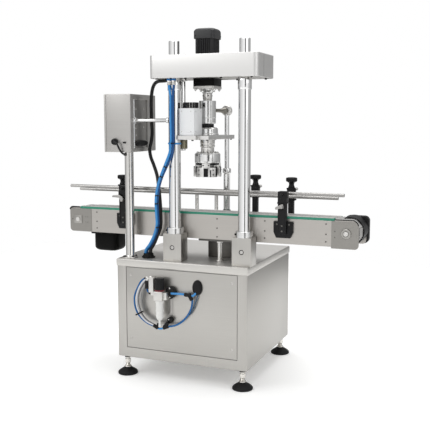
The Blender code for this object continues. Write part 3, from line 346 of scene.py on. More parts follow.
def smoothRoute(points, step):
    knots = [Vector(point) for point in points]
    knots = [2 * knots[0] - knots[1]] + knots + [2 * knots[-1] - knots[-2]]
    route = [knots[1]]
    for a, b, c, d in zip(knots, knots[1:], knots[2:], knots[3:]):
        count = max(2, round((c - b).length / step))
        for index in range(1, count + 1):
            t = index / count
            route.append((2 * b + (c - a) * t + (2 * a - 5 * b + 4 * c - d) * t * t
                          + (3 * b - a - 3 * c + d) * t ** 3) / 2)
    return route


def skinned(form, rings):
    # walls from each ring to the next, and a lid at both ends
    count = len(rings[0])
    for lower, upper in zip(rings, rings[1:]):
        for index in range(count):
            follower = (index + 1) % count
            form.faces.new((lower[index], lower[follower], upper[follower], upper[index]))
    form.faces.new(rings[0][::-1])
    form.faces.new(rings[-1])
    return form


def tubeForm(points, radius, sides=16, step=None):
    # a round tube swept along a smooth line, its section carried along without twist
    route = smoothRoute(points, step or radius * 1.5)
    form = bmesh.new()
    rings = []
    side = None
    for index, place in enumerate(route):
        before = route[max(index - 1, 0)]
        after = route[min(index + 1, len(route) - 1)]
        ahead = (after - before).normalized()
        if side is None:
            side = ahead.orthogonal().normalized()
        side = (side - ahead * side.dot(ahead)).normalized()
        over = ahead.cross(side)
        rings.append([form.verts.new(place + (side * math.cos(fullTurn * turn / sides)
                                              + over * math.sin(fullTurn * turn / sides)) * radius)
                      for turn in range(sides)])
    return skinned(form, rings)


def joined(*forms):
    whole = forms[0]
    for other in forms[1:]:
        carrier = bpy.data.meshes.new("joined")
        other.to_mesh(carrier)
        other.free()
        whole.from_mesh(carrier)
        bpy.data.meshes.remove(carrier)
    return whole


def moved(form, matrix):
    bmesh.ops.transform(form, matrix=matrix, verts=form.verts)
    return form


def looseObject(form):
    bmesh.ops.recalc_face_normals(form, faces=form.faces)
    mesh = bpy.data.meshes.new("loose")
    form.to_mesh(mesh)
    form.free()
    item = bpy.data.objects.new("loose", mesh)
    bpy.context.scene.collection.objects.link(item)
    return item


def carved(form, *tools):
    # the form with the tools' shapes cut out of it
    base = looseObject(form)
    cutters = [looseObject(tool) for tool in tools]
    for cutter in cutters:
        step = base.modifiers.new("cut", "BOOLEAN")
        step.operation = "DIFFERENCE"
        step.solver = "EXACT"
        step.object = cutter
    bpy.context.view_layer.update()
    mesh = bpy.data.meshes.new_from_object(base.evaluated_get(bpy.context.evaluated_depsgraph_get()))
    result = bmesh.new()
    result.from_mesh(mesh)
    bpy.data.meshes.remove(mesh)
    for item in [base, *cutters]:
        bpy.data.objects.remove(item, do_unlink=True)
    return result


def setDown(name, form, finish, body, stands=(), smooth=38):
    # one finished piece, in the frame's place and riding on its body
    bmesh.ops.translate(form, vec=shift, verts=form.verts)
    bmesh.ops.recalc_face_normals(form, faces=form.faces)
    mesh = bpy.data.meshes.new(name)
    form.to_mesh(mesh)
    form.free()
    mesh.shade_smooth()
    mesh.set_sharp_from_angle(angle=math.radians(smooth))
    mesh.materials.append(finish.material)
    item = bpy.data.objects.new(name, mesh)
    bpy.context.scene.collection.objects.link(item)
    if stands:
        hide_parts(*stands)
    if body:
        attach(item, body)
    return item


def circleSpots(x, y, radius, first, count):
    # places evenly round a circle, each with its way outward
    turns = [math.radians(first) + fullTurn * index / count for index in range(count)]
    return [(x + radius * math.cos(a), y + radius * math.sin(a), (math.cos(a), math.sin(a), 0))
            for a in turns]


def socketScrew(start, toward, radius=0.004, height=0.004):
    return turnedForm([(0, -0.001), (radius, -0.001), (radius, height), (radius * 0.55, height, "hex"),
                       (radius * 0.5, height * 0.35, "hex"), (0, height * 0.35)],
                      start, toward, 24, radius * 0.08)


def panScrew(start, toward, radius=0.004, height=0.002):
    return turnedForm([(0, -0.001), (radius, -0.001), (radius, height * 0.25), (radius * 0.8, height * 0.75),
                       (radius * 0.4, height), (radius * 0.3, height * 0.4), (0, height * 0.4)],
                      start, toward, 20, 0)


def hexNut(start, toward, radius=0.005, height=0.004):
    return turnedForm([(0, 0), (radius * 0.92, 0), (radius, height * 0.12, "hex"),
                       (radius, height * 0.88, "hex"), (radius * 0.92, height), (0, height)],
                      start, toward, 24, 0)


# camera, studio and floor
studio = {"eye": (1.2908, -3.0971, 1.1073), "pitch": 82.876, "yaw": 22.009, "lens": 62.555,
          "floorColour": (0.93, 0.93, 0.925), "floorHalf": 2.7, "floorGlow": 0.2, "soft": 0.72,
          "backdrop": 1.0, "roof": 0.9, "roofFrom": 0.45, "roofTo": 0.85,
          "bands": [(-179.9, 0.32), (-150, 0.34), (-118, 0.48), (-85, 0.72), (-50, 0.95), (-15, 1.15),
                    (-3, 1.05),
                    (1, 0.06), (15, 0.06), (19, 1.15), (45, 1.05), (66, 0.6), (95, 0.46), (140, 0.36),
                    (179.9, 0.32)]}


def makeCamera():
    view = bpy.data.cameras.new("camera")
    view.lens = studio["lens"]
    view.sensor_width = 36
    view.clip_end = 60
    camera = bpy.data.objects.new("camera", view)
    camera.location = Vector(studio["eye"]) + shift
    camera.rotation_euler = (math.radians(studio["pitch"]), 0, math.radians(studio["yaw"]))
    bpy.context.scene.collection.objects.link(camera)
    bpy.context.scene.camera = camera


def makeLight(name, place, aim, size, power, tone=(1, 1, 1)):
    lamp = bpy.data.lights.new(name, "AREA")
    lamp.shape = "RECTANGLE"
    lamp.size = size[0]
    lamp.size_y = size[1]
    lamp.energy = power
    lamp.color = tone
    item = bpy.data.objects.new(name, lamp)
    item.location = place
    item.rotation_euler = (Vector(aim) - Vector(place)).to_track_quat("-Z", "Y").to_euler()
    bpy.context.scene.collection.objects.link(item)


def floatMix(tree, socket, value):
    mix = tree.nodes.new("ShaderNodeMix")
    mix.data_type = "FLOAT"
    mix.inputs[socket].default_value = value
    return mix


def makeStudio():
    floor = Finish("studio floor", "white_enamel", studio["floorColour"], 0.0, 0.8)
    floor.tinted(floor.noise(0.6, 2.0), 0.01)
    floor.shader.inputs["Emission Color"].default_value = (1, 1, 1, 1)
    floor.shader.inputs["Emission Strength"].default_value = studio["floorGlow"]
    form = bmesh.new()
    bmesh.ops.create_grid(form, x_segments=2, y_segments=2, size=studio["floorHalf"])
    ground = setDown("studioFloor", form, floor, None)
    world = bpy.data.worlds.new("studio")
    world.use_nodes = True
    bpy.context.scene.world = world
    tree = world.node_tree
    coordinate = tree.nodes.new("ShaderNodeTexCoord")
    turn = tree.nodes.new("ShaderNodeMapping")
    turn.inputs["Rotation"].default_value = (0, 0, math.radians(90 - studio["yaw"]))
    around = tree.nodes.new("ShaderNodeTexGradient")
    around.gradient_type = "RADIAL"
    bands = tree.nodes.new("ShaderNodeValToRGB")
    bands.color_ramp.interpolation = "EASE"
    first, last = bands.color_ramp.elements
    stops = sorted(studio["bands"])
    first.position, last.position = stops[0][0] / 360 + 0.5, stops[-1][0] / 360 + 0.5
    first.color = (*[stops[0][1]] * 3, 1)
    last.color = (*[stops[-1][1]] * 3, 1)
    for angle, level in stops[1:-1]:
        stop = bands.color_ramp.elements.new(angle / 360 + 0.5)
        stop.color = (level, level, level, 1)
    split = tree.nodes.new("ShaderNodeSeparateXYZ")
    rise = tree.nodes.new("ShaderNodeMapRange")
    rise.inputs["From Min"].default_value = studio["roofFrom"]
    rise.inputs["From Max"].default_value = studio["roofTo"]
    roof = floatMix(tree, 3, studio["roof"])
    path = tree.nodes.new("ShaderNodeLightPath")
    soft = floatMix(tree, 2, studio["soft"])
    seen = floatMix(tree, 3, studio["backdrop"])
    back = tree.nodes["Background"]
    back.inputs["Color"].default_value = (1, 1, 1, 1)
    link = tree.links.new
    link(coordinate.outputs["Generated"], turn.inputs["Vector"])
    link(turn.outputs["Vector"], around.inputs["Vector"])
    link(around.outputs["Fac"], bands.inputs["Fac"])
    link(coordinate.outputs["Generated"], split.inputs["Vector"])
    link(split.outputs["Z"], rise.inputs["Value"])
    link(rise.outputs["Result"], roof.inputs[0])
    link(bands.outputs["Color"], roof.inputs[2])
    link(path.outputs["Is Glossy Ray"], soft.inputs[0])
    link(roof.outputs[0], soft.inputs[3])
    link(path.outputs["Is Camera Ray"], seen.inputs[0])
    link(soft.outputs[0], seen.inputs[2])
    link(seen.outputs[0], back.inputs["Strength"])
    makeLight("key", (-2.2, -2.6, 3.2), (0, 0, 0.8), (2.0, 2.0), 34)
    makeLight("fill", (3.2, -1.6, 2.2), (0, 0, 0.8), (1.6, 2.2), 10)
    makeLight("top", (0, 0.4, 3.8), (0, 0, 0.6), (2.4, 2.4), 56)
    bpy.context.scene.view_settings.view_transform = "Standard"


makeCamera()
makeStudio()
print("camera and studio ready")


# cabinet, deck and feet
cabinet = {"halfWidth": 0.3, "halfDepth": 0.295, "low": 0.084, "high": 0.5167, "edge": 0.004,
           "panelHalf": 0.2555, "panelLow": 0.1295, "panelHigh": 0.484, "seam": 0.0018,
           "panelThick": 0.005, "screwX": 0.233, "screwZ": (0.17, 0.45)}


def makeCabinet():
    halfWidth, halfDepth = cabinet["halfWidth"], cabinet["halfDepth"]
    seam = cabinet["seam"]
    shell = boxForm(about(0, halfWidth), about(0, halfDepth), (cabinet["low"], cabinet["high"]),
                    cabinet["edge"], 3)
    seat = boxForm(about(0, cabinet["panelHalf"] + seam), (-halfDepth - 0.01, -halfDepth + 0.012),
                   (cabinet["panelLow"] - seam, cabinet["panelHigh"] + seam), 0)
    setDown("cabinetShell", carved(shell, seat), uprightSteel, "base", ["cabinet_body"])
    face = -halfDepth
    setDown("panelSeamBacking", boxForm(about(0, cabinet["panelHalf"] + seam - 0.0001),
                                        (face + 0.006, face + 0.0115),
                                        (cabinet["panelLow"] - seam, cabinet["panelHigh"] + seam), 0.0002, 1),
            seamShade, "base")
    setDown("frontPanel", boxForm(about(0, cabinet["panelHalf"]), (face, face + cabinet["panelThick"]),
                                  (cabinet["panelLow"], cabinet["panelHigh"]), 0.0012),
            sheetSteel, "base", ["front_panel"])
    screws = [panScrew((side * cabinet["screwX"], face, z), toFront, 0.0042, 0.0016)
              for side in (-1, 1) for z in cabinet["screwZ"]]
    setDown("panelScrews", joined(*screws), screwSteel, "base")


deck = {"top": 0.5195, "lip": 0.032, "overhang": 0.003, "edge": 0.0035, "skin": 0.0006}


def makeDeck():
    halfWidth = cabinet["halfWidth"] + deck["overhang"]
    halfDepth = cabinet["halfDepth"] + deck["overhang"]
    skin = deck["skin"]
    setDown("deckSheet", boxForm(about(0, halfWidth), about(0, halfDepth),
                                 (deck["top"] - deck["lip"], deck["top"] - skin), deck["edge"], 4),
            lipSteel, "base", ["deck_plate"])
    setDown("deckSkin", boxForm(about(0, halfWidth - deck["edge"]), about(0, halfDepth - deck["edge"]),
                                (deck["top"] - skin - 0.0003, deck["top"]), skin * 0.6, 1), deckSteel, "base")


feet = {"inset": 0.03, "nutLow": 0.0745, "hexLow": 0.05}


def makeFeet():
    for end, ySide in (("front", -1), ("rear", 1)):
        for side, xSide in (("left", -1), ("right", 1)):
            x = xSide * (cabinet["halfWidth"] - feet["inset"])
            y = ySide * (cabinet["halfDepth"] - feet["inset"])
            node = f"foot_{end}_{side}"
            pad = [(0, 0), (0.042, 0), (0.0437, 0.0015), (0.044, 0.006), (0.0425, 0.0095), (0.037, 0.0145),
                   (0.029, 0.02), (0.0205, 0.025), (0.017, 0.0275), (0.0165, 0.031), (0, 0.031)]
            setDown(f"{node}Pad", turnedForm(pad, (x, y, 0), sides=56, ease=0.0005), softRubber, node, [node])
            stud = [(0, 0.03), (0.015, 0.03), (0.0152, 0.0335), (0.0125, 0.0365), (0.009, 0.0385)]
            z = 0.0385
            while z < feet["hexLow"] - 0.002:
                stud += [(0.0096, z + 0.0007), (0.009, z + 0.0014)]
                z += 0.0014
            stud += [(0.009, feet["hexLow"]), (0.012, feet["hexLow"]),
                     (0.0136, feet["hexLow"] + 0.002, "hex"),
                     (0.0136, feet["nutLow"] - 0.01, "hex"), (0.012, feet["nutLow"] - 0.008),
                     (0.01, feet["nutLow"] - 0.007), (0.01, cabinet["low"]), (0, cabinet["low"])]
            setDown(f"{node}Stud", turnedForm(stud, (x, y, 0), sides=36, ease=0), nickel, node)
            collar = turnedForm([(0.0104, 0), (0.0142, 0), (0.0152, 0.0015, "hex"), (0.0152, 0.008, "hex"),
                                 (0.0142, 0.0094), (0.0104, 0.0094)], (x, y, feet["nutLow"]), sides=36,
                                ease=0)
            setDown(f"{node}Nut", collar, blackScrew, "base")


# columns and their blocks
column = {"radius": 0.025, "stubRadius": 0.0222, "step": 1.3475, "top": 1.436, "blockHalfX": 0.042,
          "blockHalfY": 0.0335, "blockTop": 0.638, "neckRadius": 0.036, "neckHeight": 0.025, "clampZ": 0.5788}


def makeColumns():
    low = deck["top"] + 0.0003
    for side, (x, y) in columnPlaces.items():
        bar = [(0, low), (column["radius"], low), (column["radius"], column["step"]),
               (column["stubRadius"], column["step"]), (column["stubRadius"], column["top"]),
               (0.006, column["top"]), (0.006, column["top"] - 0.008), (0, column["top"] - 0.008)]
        setDown(f"columnBar_{side}", turnedForm(bar, (x, y, 0), sides=72, ease=0.0012), chromeBar, "base",
                [f"column_{side}"])
        block = boxForm(about(x, column["blockHalfX"]), about(y, column["blockHalfY"]),
                        (low, column["blockTop"]), 0.0014)
        neckTop = column["blockTop"] + column["neckHeight"]
        neck = ringForm((x, y, column["blockTop"] - 0.002), toTop, column["radius"] + 0.0003,
                        column["neckRadius"], column["neckHeight"] + 0.002, 64, 0.001)
        slit = boxForm((x - 0.045, x), about(y, 0.0018), (column["blockTop"] + 0.0003, neckTop + 0.01), 0)
        front, clampZ = y - column["blockHalfY"], column["clampZ"]
        well = barForm((x, front - 0.01, clampZ), (x, front + 0.006, clampZ), 0.0105, sides=40, ease=0)
        setDown(f"columnBlock_{side}", carved(block, well), uprightSteel, "base", [f"column_block_{side}"])
        setDown(f"columnNeck_{side}", carved(neck, slit), turnedAlloy, "base")
        setDown(f"columnClampScrew_{side}", socketScrew((x, front + 0.0045, clampZ), toFront, 0.0072, 0.005),
                screwSteel, "base")
        # The black ring round the clamp screw head fills the counterbore: painted shade.
        screws = [ringForm((x, front + 0.0057, clampZ), toFront, 0.0074, 0.0104, 0.004, 40, 0.0004),
                  socketScrew((x - 0.028, y - 0.0205, column["blockTop"] + 0.0125), (-0.25, -1, 0), 0.0042,
                              0.006)]
        setDown(f"columnBlockScrewsAndShadeRing_{side}", joined(*screws), blackScrew, "base")


makeCabinet()
makeDeck()
makeFeet()
makeColumns()
print("cabinet and columns ready")


# the head that slides on the columns
head = {"left": -0.142, "right": 0.335, "front": -0.287, "back": -0.069, "low": 1.2844, "high": 1.3785,
        "sheet": 0.003, "corner": 0.022, "plateLow": 1.2874, "plateThick": 0.012, "collarRadius": 0.028,
        "collarDrop": 0.049, "hoseX": (-0.0522, -0.0314), "hoseY": -0.278}
spindle = {"x": 0.055, "y": -0.125}


def makeHeadCover():
    sheet = head["sheet"]
    outer = roundedOutline((head["left"], head["right"]), (head["front"], head["back"]), head["corner"], 10)
    inner = roundedOutline((head["left"] + sheet, head["right"] - sheet),
                           (head["front"] + sheet, head["back"] - sheet), head["corner"] - sheet, 10)
    cover = plateForm(outer, head["low"], head["high"], ease=0.0022, steps=3)
    hollow = plateForm(inner, head["low"] - 0.01, head["high"] - sheet, ease=0)
    holes = [barForm((x, y, head["high"] - 0.02), (x, y, head["high"] + 0.01), column["stubRadius"] + 0.001,
                     sides=56, ease=0) for x, y in columnPlaces.values()]
    holes.append(barForm((hanger["x"], hanger["y"], head["high"] - 0.02),
                         (hanger["x"], hanger["y"], head["high"] + 0.01), 0.0128, sides=32, ease=0))
    holes.append(boxForm(about(spindle["x"], 0.0485), about(spindle["y"], 0.0455),
                         (head["high"] - 0.02, head["high"] + 0.01), 0))
    setDown("headCover", carved(cover, hollow, *holes), coverCoat, "head", ["head_cover"], 32)
    seam = boxForm(about(head["right"] - 0.0001, 0.0003), about(-0.212, 0.0008),
                   (head["low"] + 0.004, head["high"] - 0.004), 0.0001, 1)
    setDown("headCoverSeam", seam, seamShade, "head")
    bolts = [socketScrew((x, y, head["low"] + 0.002), toFloor, 0.0048, 0.0055)
             for x, y in ((0.175, -0.272), (0.302, -0.266), (-0.118, -0.262), (0.018, -0.272),
                          (0.175, -0.085),
                          (0.302, -0.085), (-0.118, -0.085))]
    setDown("headBolts", joined(*bolts), blackScrew, "head")


def makeHeadPlate():
    inset = head["sheet"] + 0.0003
    outline = roundedOutline((head["left"] + inset, head["right"] - inset),
                             (head["front"] + inset, head["back"] - inset), head["corner"] - head["sheet"], 8)
    low, high = head["plateLow"], head["plateLow"] + head["plateThick"]
    plate = plateForm(outline, low, high, ease=0.0006)
    tools = [barForm((x, y, low - 0.02), (x, y, high + 0.02), column["radius"] + 0.0004, sides=56, ease=0)
             for x, y in columnPlaces.values()]
    tools.append(boxForm(about(spindle["x"], 0.0473), about(spindle["y"], 0.0473), (low - 0.02, high + 0.02),
                         0))
    setDown("headPlate", carved(plate, *tools), sheetSteel, "head", ["head_plate"])
    for side, (x, y) in columnPlaces.items():
        collar = ringForm((x, y, head["low"] - head["collarDrop"]), toTop, column["radius"] + 0.0004,
                          head["collarRadius"], head["collarDrop"] + 0.004, 64, 0.0012)
        setDown(f"headCollar_{side}", collar, chromeBar, "head")
    for number, x in enumerate(head["hoseX"]):
        y = head["hoseY"]
        body = turnedForm([(0, 0), (0.008, 0), (0.008, 0.004), (0.0095, 0.005, "hex"), (0.0095, 0.018, "hex"),
                           (0.0085, 0.0185), (0.0085, 0.0272), (0.0055, 0.0272), (0.0055, 0.0305),
                           (0, 0.0305)],
                          (x, y, head["low"] - 0.028), sides=36, ease=0.0005)
        setDown(f"hoseFitting_{number + 1}", body, screwSteel, "head")
        ring = turnedForm([(0.008, 0), (0.0098, 0.001), (0.0101, 0.004), (0.0098, 0.008), (0.008, 0.009)],
                          (x, y, head["low"] - 0.0105), sides=40, ease=0.0004)
        setDown(f"hoseFittingRing_{number + 1}", ring, blueTube, "head")


hanger = {"x": -0.0365, "y": -0.18, "radius": 0.0125, "low": 0.985, "high": 1.385}


def makeHanger():
    plateLow = head["plateLow"] - 0.0003
    profile = [(0, hanger["low"]), (0.0125, hanger["low"]), (0.0125, plateLow - 0.01),
               (0.018, plateLow - 0.01),
               (0.018, plateLow), (0.0125, plateLow), (0.0125, hanger["high"]), (0, hanger["high"])]
    setDown("hangerBar", turnedForm(profile, (hanger["x"], hanger["y"], 0), sides=56, ease=0.0012), chromeBar,
            "head", ["hanger_rod"])


motor = {"gearHalf": 0.047, "gearLow": 1.2567, "size": 0.084, "top": 1.4515, "capHalf": 0.047,
         "capHigh": 0.0434, "finDepth": 0.0042, "fins": 7}


def finnedOutline(half, corner, depth, fins):
    # a square section with a comb of cooling fins on each side
    side = []
    pitch = (2 * half - 2 * corner) / (2 * fins + 1)
    place = -half + corner
    for index in range(fins):
        side += [(half, place + pitch), (half - depth, place + pitch * 1.12),
                 (half - depth, place + 1.88 * pitch), (half, place + 2 * pitch)]
        place += 2 * pitch
    side = [(half, -half + corner)] + side + [(half, half - corner)]
    outline = []
    for quarter in range(4):
        angle = quarter * math.pi / 2
        for x, y in side:
            outline.append((spindle["x"] + x * math.cos(angle) - y * math.sin(angle),
                            spindle["y"] + x * math.sin(angle) + y * math.cos(angle)))
    return outline


def makeHeadMotor():
    x, y = spindle["x"], spindle["y"]
    half = motor["gearHalf"]
    plateTop = head["plateLow"] + head["plateThick"]
    gear = plateForm(roundedOutline(about(x, half), about(y, half), 0.006, 4), motor["gearLow"],
                     plateTop + 0.02,
                     ease=0.0012, steps=2)
    rim = plateForm(roundedOutline(about(x, half + 0.01), (y - half - 0.01, y + half + 0.004), 0.005, 4),
                    plateTop + 0.0003, plateTop + 0.01, ease=0.001)
    fins = plateForm(finnedOutline(motor["size"] / 2, 0.011, motor["finDepth"], motor["fins"]),
                     plateTop + 0.018,
                     motor["top"] + 0.002, ease=0.0004)
    setDown("headMotorBody", fins, motorBlack, "head", ["head_gearmotor"], 30)
    setDown("headGearCase", joined(gear, rim), deepBlack, "head")
    capHalf, low = motor["capHalf"], motor["top"]
    high = low + motor["capHigh"]
    form = bmesh.new()
    rings = []
    for z, inset, corner in ((low, 0.0012, 0.014), (low + 0.0012, 0, 0.0145), (high - 0.0135, 0, 0.0145),
                             (high - 0.0095, 0.001, 0.0155), (high - 0.0055, 0.0034, 0.016),
                             (high - 0.0022, 0.007, 0.0165), (high - 0.0006, 0.011, 0.0165),
                             (high, 0.016, 0.0165)):
        outline = roundedOutline(about(x, capHalf - inset), about(y, capHalf - inset), corner, 7)
        rings.append([form.verts.new((u, v, z)) for u, v in outline])
    setDown("headMotorCap", skinned(form, rings), capBlack, "head", (), 30)
    screws = [panScrew((x + side * (capHalf - 0.012), y - capHalf, low + 0.012), toFront, 0.0024, 0.0012)
              for side in (-1, 1)]
    screws += [panScrew((x + capHalf, y + side * (capHalf - 0.012), low + 0.012), toRight, 0.0024, 0.0012)
               for side in (-1, 1)]
    setDown("headMotorScrews", joined(*screws), blackScrew, "head")


def makeGearFlange():
    x, y = spindle["x"], spindle["y"]
    top = motor["gearLow"] - 0.0003
    low = top - 0.012
    outline = roundedOutline(about(x, 0.048), about(y, 0.048), 0.008, 5)
    bore = barForm((x, y, low - 0.05), (x, y, top + 0.05), 0.0128, sides=40, ease=0)
    setDown("gearFlange", carved(plateForm(outline, low, top, ease=0.001), bore), castAlloy, "head",
            ["gearbox_flange"])
    cone = turnedForm([(0.013, 0), (0.022, 0), (0.0225, 0.004), (0.03, 0.01), (0.0355, 0.0165),
                       (0.036, 0.0185), (0.013, 0.0185)], (x, y, low - 0.018), sides=56, ease=0.0007)
    setDown("gearFlangeCone", cone, turnedAlloy, "head")
    bolts = []
    for u in (x - 0.0385, x + 0.0385):
        for v in (y - 0.0385, y + 0.0385):
            bolts += [hexNut((u, v, low - 0.0055), toTop, 0.0058, 0.0057),
                      barForm((u, v, low - 0.009), (u, v, low), 0.0028, sides=20)]
    bolts += [socketScrew((u, v, low - 0.0075), toFloor, 0.0034, 0.004)
              for u, v, _ in circleSpots(x, y, 0.031, 45, 4)]
    setDown("gearFlangeNuts", joined(*bolts), screwSteel, "head")


def makeDriveShaft():
    x, y = spindle["x"], spindle["y"]
    sleeveTop = 1.1951
    profile = [(0, 1.02), (0.011, 1.02), (0.011, sleeveTop + 0.0003), (0.0185, sleeveTop + 0.0003),
               (0.0185, sleeveTop + 0.006), (0.02, sleeveTop + 0.0075), (0.02, 1.2261), (0.0125, 1.2261),
               (0.0125, 1.2561), (0, 1.2561)]
    setDown("driveCoupling", turnedForm(profile, (x, y, 0), sides=56, ease=0.0008), brightSteel,
            "drive_shaft",
            ["drive_shaft"])
    screws = [socketScrew((u, v, 1.2165), outward, 0.003, 0.0016)
              for u, v, outward in circleSpots(x, y, 0.0195, -60, 4)]
    setDown("driveCouplingScrews", joined(*screws), blackScrew, "drive_shaft")


makeHeadCover()
makeHeadPlate()
makeHanger()
makeHeadMotor()
makeGearFlange()
makeDriveShaft()
print("head ready")


# pressing cylinder and the carriage under it
press = {"x": (-0.0132, 0.0529), "y": (-0.265, -0.18), "low": 1.0501, "high": 1.1619,
         "knobRadius": 0.032, "knobShift": 0.0015, "knobHigh": 0.0245, "teeth": 16}
carriage = {"plateHigh": 1.0498, "plateThick": 0.0172}


def makePress():
    x, y, low, high = press["x"], press["y"], press["low"], press["high"]
    middleX, middleY = (x[0] + x[1]) / 2, (y[0] + y[1]) / 2
    capLine = 0.0105
    form = joined(boxForm(x, y, (low, low + capLine - 0.0004), 0.0012),
                  boxForm((x[0] + 0.0006, x[1] - 0.0006), (y[0] + 0.0006, y[1] - 0.0006),
                          (low + capLine - 0.001, high - capLine + 0.001), 0.0004, 1),
                  boxForm(x, y, (low + capLine, high - capLine), 0.0009),
                  boxForm(x, y, (high - capLine + 0.0004, high), 0.0012))
    arm = boxForm((hanger["x"] - 0.0215, x[0] - 0.0003), about(hanger["y"] + 0.001, 0.0245), (1.085, 1.15),
                  0.0015)
    bore = barForm((hanger["x"], hanger["y"], 1.05), (hanger["x"], hanger["y"], 1.2), 0.0127, sides=40,
                   ease=0)
    setDown("pressBody", form, whiteEnamel, "head", ["press_cylinder"])
    setDown("pressArm", carved(arm, bore), castAlloy, "head")
    knobX, radius, top = middleX + press["knobShift"], press["knobRadius"], press["knobHigh"]
    core = turnedForm([(0, 0), (radius - 0.003, 0), (radius - 0.003, top - 0.003),
                       (radius - 0.005, top - 0.0015),
                       (0, top - 0.0015)], (knobX, middleY, high), sides=56)
    setDown("pressKnobCore", core, castAlloy, "head")
    place = Matrix.Translation((knobX, middleY, high))
    teeth = [moved(boxForm((radius - 0.007, radius), about(0, 0.0047), (0.0012, top), 0.0014),
                   place @ Matrix.Rotation(fullTurn * index / press["teeth"], 4, "Z"))
             for index in range(press["teeth"])]
    setDown("pressKnob", joined(*teeth), glossBlack, "head", (), 30)
    screws = [panScrew((sx, y[0], sz), toFront, 0.0021, 0.0008)
              for sx in (-0.0035, 0.039) for sz in (1.0665, 1.15)]
    screws += [panScrew((x[1], sy, sz), toRight, 0.0021, 0.0008)
               for sy in (-0.2465, -0.193) for sz in (1.0665, 1.15)]
    screws += [panScrew((0.039, y[0], 1.109), toFront, 0.0012, 0.0005)]
    setDown("pressScrews", joined(*screws), screwSteel, "head")
    setDown("pressRod", turnedForm([(0, low), (0.007, low), (0.007, 1.112), (0.0174, 1.112), (0.0174, 1.125),
                                    (0, 1.125)], (middleX, middleY, 0), sides=40), brightSteel, "carriage",
            ["press_piston"])


def makeCarriage():
    high = carriage["plateHigh"]
    low = high - carriage["plateThick"]
    outline = [(-0.02, -0.27), (0.062, -0.27), (0.062, -0.243), (0.1076, -0.243),
               (0.112, -0.15), (0.13, -0.06), (0.13, 0.004), (0.08, 0.004), (0.05, -0.06),
               (-0.058, -0.15), (-0.058, -0.214), (-0.02, -0.214)]
    x, y = spindle["x"], spindle["y"]
    plate = plateForm(outline, low, high, ease=0.001)
    bores = [barForm((hanger["x"], hanger["y"], 0.9), (hanger["x"], hanger["y"], 1.2), 0.0131, sides=40,
                     ease=0),
             barForm((x, y, 0.9), (x, y, 1.2), 0.0211, sides=40, ease=0)]
    setDown("carriagePlate", carved(plate, *bores), milledAlloy, "carriage", ["carriage_plate"])
    bush = ringForm((hanger["x"], hanger["y"], low - 0.04), toTop, 0.0131, 0.02, 0.04, 48, 0.0012)
    upper = ringForm((hanger["x"], hanger["y"], high), toTop, 0.0131, 0.02, 0.03, 48, 0.0012)
    # the bushes carry the dark olive painted shade
    setDown("carriageBush", joined(bush, upper), paintedShadeBush, "carriage")
    hub = turnedForm([(0.0211, 0), (0.0475, 0), (0.0475, 0.0055), (0.045, 0.007), (0.045, 0.0265),
                      (0.039, 0.0323), (0.0211, 0.0323), (0.0211, 0)],
                     (x, y, high + 0.0003), sides=72, ease=0.0008)
    setDown("bearingHub", hub, turnedAlloy, "carriage", ["bearing_hub"])
    seal = turnedForm([(0.029, 0), (0.0325, 0.0006), (0.0335, 0.0022), (0.0325, 0.0036), (0.029, 0.004)],
                      (x, y, high + 0.03), sides=64, ease=0.0003)
    setDown("hubSeal", seal, glossBlack, "carriage")
    bolts = [socketScrew((u, v, low), toFloor, radius, length)
             for u, v, radius, length in ((0, -0.256, 0.0046, 0.005), (0.042, -0.256, 0.0046, 0.005),
                                          (0.098, -0.234, 0.004, 0.0042), (0.118, -0.008, 0.004, 0.0042))]
    bolts += [socketScrew((u, v, low), toFloor, 0.0036, 0.0036) for u, v,
              _ in circleSpots(x, y, 0.034, 20, 4)]
    setDown("carriageBolts", joined(*bolts), blackScrew, "carriage")


guide = {"x": 0.1025, "y": -0.018, "radius": 0.01, "low": 0.79, "arm": 1.1546}


